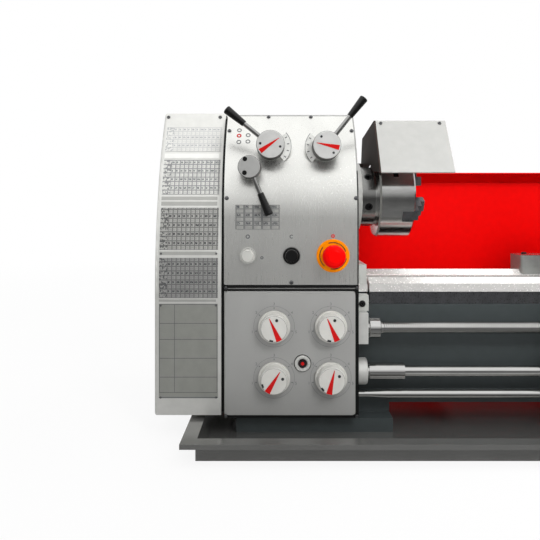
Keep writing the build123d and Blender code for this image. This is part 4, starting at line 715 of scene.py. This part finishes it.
# Charts of the end cover: bottom, top, paper, ink, strength of the rules and half height of the dashes
chart_left = cover_left + 0.008
chart_right = cover_right - 0.006
chart_cell = (0.0079, 0.0079)
chart_margin = 0.014
# Painted shade: the papers grow darker from the upper chart down to the lower one
chart_rows = [
    ("upper", 0.508, 0.556, "e6e6e2", "a8a9ac", 0.42, 0.20),
    ("second", 0.428, 0.492, "dcdcd8", "6c6e71", 0.75, 0.22),
    ("third", 0.330, 0.404, "a9a9a5", "2a2c30", 0.64, 0.24),
    ("lower", 0.246, 0.316, "929290", "34363a", 0.60, 0.22),
]
for name, bottom, top, paper, ink, rules, dash_half in chart_rows:
    shape = bmesh.new()
    cover_sheet(shape, chart_left, chart_right, bottom, top)
    corner = (chart_left, bottom)
    printed = chart(f"{name}_chart_print", paper, ink, corner, chart_cell, rules, dash_half, chart_margin)
    finish_piece(f"{name}_chart", shape, printed, "end_cover", True)

# Bars between the charts, by bottom and top: the upper one white, the lower ones a darker copy, painted shade
bar_right = chart_right - 0.003
for name, material, bars in (
    ("upper_bar", bar_white, [(0.495, 0.504)]),
    ("lower_bars", bar_in_painted_shade, [(0.408, 0.415), (0.418, 0.424), (0.321, 0.327), (0.2395, 0.2435)]),
):
    shape = bmesh.new()
    for bottom, top in bars:
        cover_sheet(shape, chart_left, bar_right, bottom, top)
    finish_piece(name, shape, material, "end_cover", True)

# Lower plate of the cover: bare, with a frame, ruled fields and rivets
plate_bottom, plate_top = 0.071, 0.236
plate_foot = 0.010
plate_column = chart_left + 0.027
field_drops = (0.034, 0.062, 0.095, 0.128)
rule = 0.0008
print_lift = 2 * thin
shape = bmesh.new()
cover_sheet(shape, chart_left, chart_right, plate_bottom, plate_top)
finish_piece("lower_plate", shape, plate_grey, "end_cover", True)
shape = bmesh.new()
for x in (chart_left + rule, plate_column, chart_right - 2 * rule):
    cover_sheet(shape, x, x + rule, plate_bottom + plate_foot, plate_top - rule, print_lift)
for drop in (rule, *field_drops, plate_top - plate_bottom - plate_foot):
    z = plate_top - drop
    cover_sheet(shape, chart_left + rule, chart_right - rule, z - rule, z, print_lift)
cover_sheet(shape, chart_left, chart_right, plate_bottom, plate_bottom + 2 * rule, print_lift)
finish_piece("plate_rules", shape, print_grey, "end_cover", True)
rivet_radius = 0.0019
rivet_inset = 0.003
rivet_places = [
    (x, lean_y(z, *cover_lean) - thin, z)
    for x in (chart_left + rivet_inset, chart_right - rivet_inset)
    for z in (plate_bottom + 0.001, plate_top - rivet_inset, 0.3235)
]
screw_row("plate_rivets", rivet_places, to_front, rivet_radius, screw_steel, "end_cover")

# Printed table of the headstock panel
table_left, table_right = head_left + 0.020, head_left + 0.0975
table_bottom, table_top = 0.366, 0.4092
table_cell = (0.0155, 0.0072)
table_print = chart("table_print", "a8a8a4", "4c4e52", (table_left, table_bottom), table_cell,
                    rule_strength=0.7, dash_half=0.30)
shape = bmesh.new()
leaning_sheet(shape, table_left, table_right, table_bottom, table_top, lean_start, lean_radius, thin)
finish_piece("speed_table", shape, table_print, "base", True)

# Small marks of the headstock panel: a group at the top left, and one by each button
start_x = head_left + 0.0416
jog_x = head_left + 0.1182
stop_x = head_left + 0.1908
button_z = 0.320
mark_outer = 0.0044
button_mark_z = 0.3535
shape = bmesh.new()
for offset, z in ((0.0233, 0.5470), (0.0233, 0.5235), (0.0398, 0.5370), (0.0398, 0.5245)):
    leaning_ring(shape, offset, z, 0.0028, mark_outer)
flat_ring(shape, (start_x, button_mark_z), 0.0020, 0.0038, panel_front, thin, 24)
flat_ring(shape, (head_left + 0.0663, 0.3165), 0.0012, 0.0028, panel_front, thin, 24)
ring_sector(shape, (jog_x, button_mark_z), 0.0020, 0.0034, 40, 320, panel_front, thin, 24)
finish_piece("panel_symbols", shape, print_grey, "base")
shape = bmesh.new()
leaning_ring(shape, 0.0233, 0.5360, 0.0022, mark_outer)
flat_ring(shape, (stop_x, button_mark_z + 0.001), 0.0014, 0.0032, panel_front, thin, 24)
finish_piece("panel_red_symbols", shape, print_red, "base")

# Index plates beside the speed levers, by the angles of their ends
index_outer = 0.0370
index_rim = 0.0362
index_gap = 0.0002
index_thickness = 0.001
index_stand = 0.002
tick_count = 4
index_tick = (0.0295, 0.0335)
tick_inset = 12
tick_half = 1.4
for name, centre, low, high in (
    ("left_index", left_lever_at, -48, 42),
    ("right_index", right_lever_at, 138, 228),
):
    face = lean_y(centre[1] - speed_hub) - index_stand
    shape = bmesh.new()
    ring_sector(shape, centre, speed_hub + index_gap, index_outer, low, high, face + index_thickness,
                index_thickness, 20)
    finish_piece(f"{name}_plate", shape, index_white, "base")
    shape = bmesh.new()
    for step in range(tick_count):
        angle = low + tick_inset + (high - low - 2 * tick_inset) * step / (tick_count - 1)
        ring_sector(shape, centre, *index_tick, angle - tick_half, angle + tick_half, face, thin, 1)
    ring_sector(shape, centre, index_rim, index_outer, low, high, face, thin, 20)
    finish_piece(f"{name}_marks", shape, print_grey, "base")

# Width of a pointer's tip and height of a round mark's crown, as shares
tip_share = 0.10
crown_share = 1.2


def wedge(shape, centre, angle, tail, tip, half, y):
    """A tapered pointer on a face: wide at the tail, narrow at the tip."""
    along = (math.cos(math.radians(angle)), math.sin(math.radians(angle)))
    across = (-along[1], along[0])
    tip_half = half * tip_share
    corners = []
    for distance, side in ((-tail, half), (-tail, -half), (tip, -tip_half), (tip, tip_half)):
        corners.append((
            centre[0] + along[0] * distance + across[0] * side,
            centre[1] + along[1] * distance + across[1] * side,
        ))
    front_slab(shape, corners, y, thin)


def spot(shape, centre, angle, distance, radius, y):
    """A small round mark on a face."""
    x = centre[0] + distance * math.cos(math.radians(angle))
    z = centre[1] + distance * math.sin(math.radians(angle))
    revolve(shape, (x, y, z), to_front, [(0, radius), (thin, radius), (thin * crown_share, 0)], 14)


# Speed levers: angles of the pointer and of the round marks on each hub
for name, centre, angle, spots in (
    ("left_lever", left_lever_at, 35, (176, -14)),
    ("right_lever", right_lever_at, 168, (124, -50)),
):
    face = hub_face(centre[1], speed_hub, speed_hub_length)
    shape = bmesh.new()
    wedge(shape, centre, angle, tail=0.0215, tip=0.0185, half=0.0044, y=face)
    finish_piece(f"{name}_pointer", shape, print_red, name)
    shape = bmesh.new()
    for place in spots:
        spot(shape, centre, place, distance=0.0175, radius=0.0022, y=face)
    finish_piece(f"{name}_marks", shape, print_black_and_shade, name)

# Feed lever: two black discs on its hub, painted shade standing for two holes
hole_shade_profile = [(0, 0.0040), (thin, 0.0040), (thin, 0.0026), (thin / 4, 0)]
x, z = feed_lever_at
face = hub_face(z, feed_hub, feed_hub_length)
shape = bmesh.new()
for dx, dz in ((-0.0070, 0.0130), (-0.0078, -0.0105)):
    revolve(shape, (x + dx, face, z + dz), to_front, hole_shade_profile, 18)
finish_piece("feed_lever_hole_shades", shape, black_rubber_and_shade, "feed_lever")

# Selector dials: pointer and marks on the face, a thin dark ring of painted shade round the face's edge, and
# a scale printed round them
dial_mid = (head_left + 0.1374, 0.151)
dial_half = (0.0497, 0.0449)
dial_places = [
    (dial_mid[0] + column * dial_half[0], dial_mid[1] + row * dial_half[1])
    for row in (1, -1)
    for column in (-1, 1)
]
dial_angles = (114, 114, 58, 77)
dial_gap = 0.0004
dial_height = 0.022
dial_face = panel_front - dial_gap - dial_height
dial_arc = (0.0192, 0.0222)
dial_edge_shade = (0.0221, 0.0225)
scale_ring = (0.0355, 0.0359)
scale_tick = (0.0312, 0.0338)
scale_tick_half = 1.3
scale_steps = 5
scale_middle = scale_steps // 2
scale_angle = 52
scale = bmesh.new()
for index, (centre, angle) in enumerate(zip(dial_places, dial_angles), 1):
    dial = f"dial_{index}"
    shape = bmesh.new()
    wedge(shape, centre, angle, tail=0.0222, tip=0.0195, half=0.0052, y=dial_face)
    finish_piece(f"{dial}_pointer", shape, print_red, dial)
    shape = bmesh.new()
    spot(shape, centre, angle - 42, distance=0.0155, radius=0.0027, y=dial_face)
    ring_sector(shape, centre, *dial_arc, angle + 134, angle + 152, dial_face, thin, 4)
    # Painted shade: a thin dark ring round the edge of the dial's face
    flat_ring(shape, centre, *dial_edge_shade, dial_face, thin / 4, 60)
    finish_piece(f"{dial}_marks", shape, print_black_and_shade, dial)
    flat_ring(scale, centre, *scale_ring, panel_front, thin / 2, 60)
    for step in range(scale_steps):
        place = 90 + (step - scale_middle) * scale_angle
        ring_sector(scale, centre, *scale_tick, place - scale_tick_half, place + scale_tick_half,
                    panel_front, thin, 1)
finish_piece("dial_scales", scale, print_grey, "base")

# Numbers beside the dial scales
number_size = 0.0068
number_depth = thin / 4
number_distance = 0.0395
for index, centre in enumerate(dial_places, 1):
    for step in range(scale_steps):
        words = bpy.data.curves.new(f"dial_{index}_number_{step + 1}", "FONT")
        words.body = str(step + 1)
        words.size = number_size
        words.extrude = number_depth
        words.align_x = "CENTER"
        words.align_y = "CENTER"
        words.materials.append(print_grey)
        number = bpy.data.objects.new(words.name, words)
        bpy.context.collection.objects.link(number)
        place = math.radians(90 - (step - scale_middle) * scale_angle)
        number.rotation_euler = (math.radians(90), 0, 0)
        number.location = (
            centre[0] + number_distance * math.cos(place),
            panel_front - number_depth,
            centre[1] + number_distance * math.sin(place),
        )
        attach(number, "base")

# Button bezels
bezel_bore = 0.0113
bezel_shoulder, bezel_height = 0.0042, 0.0054
bezel_taper, bezel_round = 0.0002, 0.0010
for name, x, outer, material in (
    ("start_bezel", start_x, 0.0138, button_white),
    ("jog_bezel", jog_x, 0.0152, button_black),
):
    profile = [
        (0, outer),
        (bezel_shoulder, outer - bezel_taper),
        (bezel_height, outer - bezel_round),
        (bezel_height, bezel_bore),
        (0, bezel_bore),
    ]
    turned_piece(name, (x, panel_front, button_z), to_front, profile, 36, material, "base", True)

# Yellow disc of the stop button, with three dark arcs
disc_outer, disc_bore = 0.0290, 0.0151
disc_shoulder, disc_thickness = 0.0016, 0.0022
disc_edge = disc_thickness - disc_shoulder
disc_profile = [
    (0, disc_outer),
    (disc_shoulder, disc_outer),
    (disc_thickness, disc_outer - disc_edge),
    (disc_thickness, disc_bore),
    (0, disc_bore),
]
stop_at = (stop_x, panel_front, button_z)
turned_piece("stop_disc", stop_at, to_front, disc_profile, 48, stop_yellow, "base")
disc_front = panel_front - disc_thickness
disc_arc = (0.0226, 0.0240)
shape = bmesh.new()
for start in (20, 140, 260):
    ring_sector(shape, (stop_x, button_z), *disc_arc, start, start + 90, disc_front, thin, 10)
finish_piece("stop_disc_marks", shape, print_black_and_shade, "base")

# Black seals round the gearbox panel and under the headstock panel, by bottom, top and thickness
seal_back = panel_front + 0.004
seal_bottom = 0.0362
seal_side = head_right - 0.0058
shape = bmesh.new()
for low, high, thickness in (
    (seal_bottom, 0.0410, 0.0036),
    (0.2580, 0.2618, 0.0042),
    (0.2645, 0.2690, 0.0036),
):
    front_block(shape, head_left, head_right, low, high, seal_back, thickness)
front_block(shape, seal_side, head_right, seal_bottom, 0.2692, seal_back, 0.0034)
finish_piece("panel_seals", shape, black_rubber_and_shade, "base")

# A black sheet in the gap beside the end cover: painted shade, standing for the dark of the gap
gap_steps = 16
gap_low, gap_high = 0.045, 0.572
gap_left, gap_right = head_left - 0.0046, head_left - 0.0004
gap_front, gap_back = 0.005, 0.011
front_edge, back_edge = [], []
for step in range(gap_steps + 1):
    z = gap_low + (gap_high - gap_low) * step / gap_steps
    front_edge.append((gap_left, lean_y(z) + gap_front, z))
    back_edge.append((gap_left, lean_y(z) + gap_back, z))
shape = bmesh.new()
slab(shape, front_edge + back_edge[::-1], (gap_right - gap_left, 0, 0))
finish_piece("gap_shade_sheet", shape, black_rubber_and_shade, "base")

# Socket bolt of the gearbox lug and screws of the chuck guard
lug_at = (head_right + 0.0103, -0.120, 0.231)
screw_row("lug_bolt", [lug_at], to_front, 0.0062, blackened, "base")
guard_slope = (0, -0.848, 0.530)
guard_places = [(guard_left + offset, -0.061, 0.5655) for offset in (0.012, 0.124)]
screw_row("guard_screws", guard_places, guard_slope, 0.0036, screw_steel, "chuck_guard")

# Screws of the headstock lid, the saddle and the tail bracket
lid_low, lid_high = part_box("headstock_cover")
lid_inset = 0.016
lid_places = [
    (x, y, lid_high.z)
    for x in (lid_low.x + lid_inset, lid_high.x - lid_inset)
    for y in (-0.050, 0.110)
]
screw_row("lid_screws", lid_places, upward, 0.0046, screw_steel, "base")
saddle_places = [(x, y, saddle_top) for x in (-0.135, -0.092, 0.092, 0.135) for y in (-0.108, 0.108)]
screw_row("saddle_screws", saddle_places, upward, 0.0060, blackened, "carriage")
bracket_low, bracket_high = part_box("tail_bracket")
bracket_middle = (bracket_low.x + bracket_high.x) / 2
bracket_places = [(bracket_middle, bracket_low.y, z) for z in (0.158, 0.208)]
screw_row("bracket_screws", bracket_places, to_front, 0.0065, blackened, "base")

# Sight glass: window, a thin dark ring round its rim, and red spot
glass_low, glass_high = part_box("sight_glass")
glass_radius = (glass_high.x - glass_low.x) / 2
glass_x, glass_z = head_left + 0.1375, 0.1318
window_y = panel_front - 0.002
window_profile = [(0, 0.0081), (0.0006, 0.0079), (0.0010, 0.0050), (0.0012, 0)]
spot_profile = [(0, 0.0030), (0.0004, 0.0028), (0.0005, 0)]
window_at = (glass_x, window_y, glass_z)
spot_at = (glass_x, window_y - 0.0011, glass_z)
turned_piece("sight_window", window_at, to_front, window_profile, 32, window_dark, "base", True)
shape = bmesh.new()
rim_dark_ring = (glass_radius + 0.0001, glass_radius + 0.0014)
flat_ring(shape, (glass_x, glass_z), *rim_dark_ring, panel_front, thin, 48)
finish_piece("sight_dark_ring", shape, black_rubber_and_shade, "base")
turned_piece("sight_spot", spot_at, to_front, spot_profile, 18, print_red, "base", True)

# Leadscrew: its two plain ends, the left one with a turned collar
lead_low, lead_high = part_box("leadscrew")
lead_y, lead_z = -0.120, 0.188
crest, root, core = 0.011, 0.0092, 0.006
lead_collar, lead_collar_edge = 0.0185, 0.001
lead_collar_left, lead_collar_right = head_right + 0.022, head_right + 0.042
thread_start = head_right + 0.046
thread_end = lead_high.x - 0.068
left_end = [
    (lead_low.x, 0),
    (lead_low.x, crest),
    (lead_collar_left, crest),
    (lead_collar_left, lead_collar - lead_collar_edge),
    (lead_collar_left + lead_collar_edge, lead_collar),
    (lead_collar_right - lead_collar_edge, lead_collar),
    (lead_collar_right, lead_collar - lead_collar_edge),
    (lead_collar_right, crest),
    (thread_start, crest),
    (thread_start, core),
]
right_end = [(thread_end, core), (thread_end, crest), (lead_high.x, crest), (lead_high.x, 0)]
shape = bmesh.new()
for profile in (left_end, right_end):
    revolve(shape, (0, lead_y, lead_z), along_bed, profile, 40)

# Its trapezoidal thread: one section of (share of the pitch, radius) points, wound along the screw
pitch = 0.004
thread_section = [(0.0, root), (0.25, root), (0.38, crest), (0.62, crest), (0.75, root)]
turn_steps = 20
end_turns = 3
turns = int((thread_end - thread_start) / pitch) + end_turns
rings = []
for step in range(turns * turn_steps + 1):
    angle = 2 * math.pi * step / turn_steps
    x = thread_start + pitch * step / turn_steps
    ring = []
    for share, radius in thread_section:
        ring.append(shape.verts.new((
            x + (share - 1.0) * pitch,
            lead_y + radius * math.cos(angle),
            lead_z + radius * math.sin(angle),
        )))
    rings.append(ring)
for ring, following in zip(rings, rings[1:]):
    for low, high, low_next, high_next in zip(ring, ring[1:], following, following[1:]):
        shape.faces.new((low, high, high_next, low_next))
for step in range(len(rings) - turn_steps - 1):
    turn_later = rings[step + turn_steps][0], rings[step + turn_steps + 1][0]
    shape.faces.new((rings[step][-1], turn_later[0], turn_later[1], rings[step + 1][-1]))
shape.faces.new(rings[0][::-1] + [ring[0] for ring in rings[1 : turn_steps + 1]])
shape.faces.new(rings[-1] + [ring[-1] for ring in rings[-2 : -turn_steps - 2 : -1]])
thread = finish_piece("leadscrew_thread", shape, rod_steel, "leadscrew", True)
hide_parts("leadscrew")

# Rack under the front way, with its teeth pointing down
rack_left, rack_right = head_right + 0.03, 0.70
rack_back, rack_width = -0.0755, 0.006
rack_bottom, tooth_bottom = 0.2265, 0.2205
tooth = 0.00628
tip_half, root_half = tooth * 0.25, tooth * 0.45
shape = bmesh.new()
front_block(shape, rack_left, rack_right, rack_bottom, ways_bottom, rack_back, rack_width)
for step in range(int((rack_right - rack_left) / tooth)):
    x = rack_left + (step + 0.5) * tooth
    corners = [
        (x - tip_half, tooth_bottom),
        (x + tip_half, tooth_bottom),
        (x + root_half, rack_bottom),
        (x - root_half, rack_bottom),
    ]
    front_slab(shape, corners, rack_back, rack_width)
finish_piece("rack", shape, machined, "base")

# Clamp screws of the tool post
post_x, post_top = -0.030, 0.4522
tool_screw = [(-0.020, 0.004), (0.004, 0.004), (0.004, 0.0055), (0.013, 0.0055), (0.014, 0.0045), (0.014, 0)]
shape = bmesh.new()
for dx in (-0.033, 0.033):
    for y in (-0.033, -0.011, 0.011, 0.033):
        revolve(shape, (post_x + dx, y, post_top), upward, tool_screw, 8)
finish_piece("tool_screws", shape, print_black_and_shade, "toolpost")

# Floor: pale in the light, white to the camera, and a dim glow in mirror images, dimmer towards the front
floor_half = 8
floor_z = -0.0005
pale = Finish("pale_floor")
seen, mirrored = pale.rays()
mirror_glow = pale.ramp(pale.axes()[1], -1.6, -0.2, 0.14, 0.25)
whiteness = pale.ramp(pale.vector("LENGTH", pale.place), 1.5, 4.0, 0.88, 1.0)
pale_tone = pale.grey(pale.vary(pale.noise((2, 2, 2)), 0.86, 0.90))
pale.put(pale.shader, {"Base Color": pale_tone, "Roughness": 0.6})
glow = pale.add("ShaderNodeEmission", {"Color": (1, 1, 1, 1), "Strength": pale.mix(seen, mirror_glow, 1.0)})
shown = pale.add("ShaderNodeMixShader", {
    0: pale.math("MAXIMUM", pale.times(seen, whiteness), mirrored),
    1: pale.shader.outputs[0],
    2: glow.outputs[0],
})
pale.put(pale.tree.nodes["Material Output"], {"Surface": shown.outputs[0]})
shape = bmesh.new()
floor_corners = ((-1, -1), (1, -1), (1, 1), (-1, 1))
shape.faces.new([shape.verts.new((x * floor_half, y * floor_half, floor_z)) for x, y in floor_corners])
mesh = bpy.data.meshes.new("floor")
shape.to_mesh(mesh)
shape.free()
mesh.materials.append(pale.material)
floor = bpy.data.objects.new("floor", mesh)
bpy.context.collection.objects.link(floor)

# World: soft light that grows upwards, a bright backdrop in mirror images, and white to the camera
world = bpy.data.worlds.new("studio")
bpy.context.scene.world = world
world.use_nodes = True
sky = Nodes(world.node_tree)
outward = sky.add("ShaderNodeTexCoord", {}).outputs["Generated"]
direction = sky.add("ShaderNodeSeparateXYZ", {0: outward}).outputs
overhead = sky.ramp(direction["Z"], -0.05, 0.65, 0.30, 0.85)
mirror_front = sky.ramp(direction["Z"], -0.05, 0.50, 0.24, 1.18)
backdrop = sky.ramp(direction["Y"], -0.35, 0.10)
seen, mirrored = sky.rays()
level = sky.mix(mirrored, overhead, sky.math("MAXIMUM", mirror_front, backdrop))
sky.put(sky.tree.nodes["Background"], {"Color": (1, 1, 1, 1), "Strength": sky.mix(seen, level, 1.0)})


def softbox(name, place, target, size, power, spread=180):
    """A large square lamp aimed at a point, with the spread of its beam in degrees."""
    lamp = bpy.data.lights.new(name, "AREA")
    lamp.size = size
    lamp.energy = power
    lamp.spread = math.radians(spread)
    lamp_object = bpy.data.objects.new(name, lamp)
    lamp_object.location = place
    aim = Vector(target) - Vector(place)
    lamp_object.rotation_euler = aim.to_track_quat("-Z", "Y").to_euler()
    lamp_object.visible_glossy = False
    bpy.context.collection.objects.link(lamp_object)


softbox("top_light", (-0.5, -0.7, 2.3), (-0.5, 0, 0.4), size=1.6, power=8)
softbox("right_light", (0.9, -2.1, 0.45), (-0.4, 0, 0.15), size=1.2, power=6)
softbox("bed_light", (0.3, -1.5, 1.6), (-0.25, 0.26, 0.35), size=0.8, power=3.2, spread=50)
softbox("rear_light", (0.15, 0.25, 1.9), (-0.2, -0.05, 0.2), size=0.9, power=7)

# Camera square to the panel, shifted to the photograph's frame
camera = bpy.data.cameras.new("camera")
camera.lens = 38.07
camera.sensor_width = 36
camera.shift_x = -0.0185
camera.shift_y = -0.111
camera_object = bpy.data.objects.new("camera", camera)
camera_object.location = (head_left + 0.098, -1.150, 0.400)
camera_object.rotation_euler = (math.radians(90), 0, 0)
bpy.context.collection.objects.link(camera_object)
bpy.context.scene.camera = camera_object
bpy.context.scene.view_settings.view_transform = "Standard"
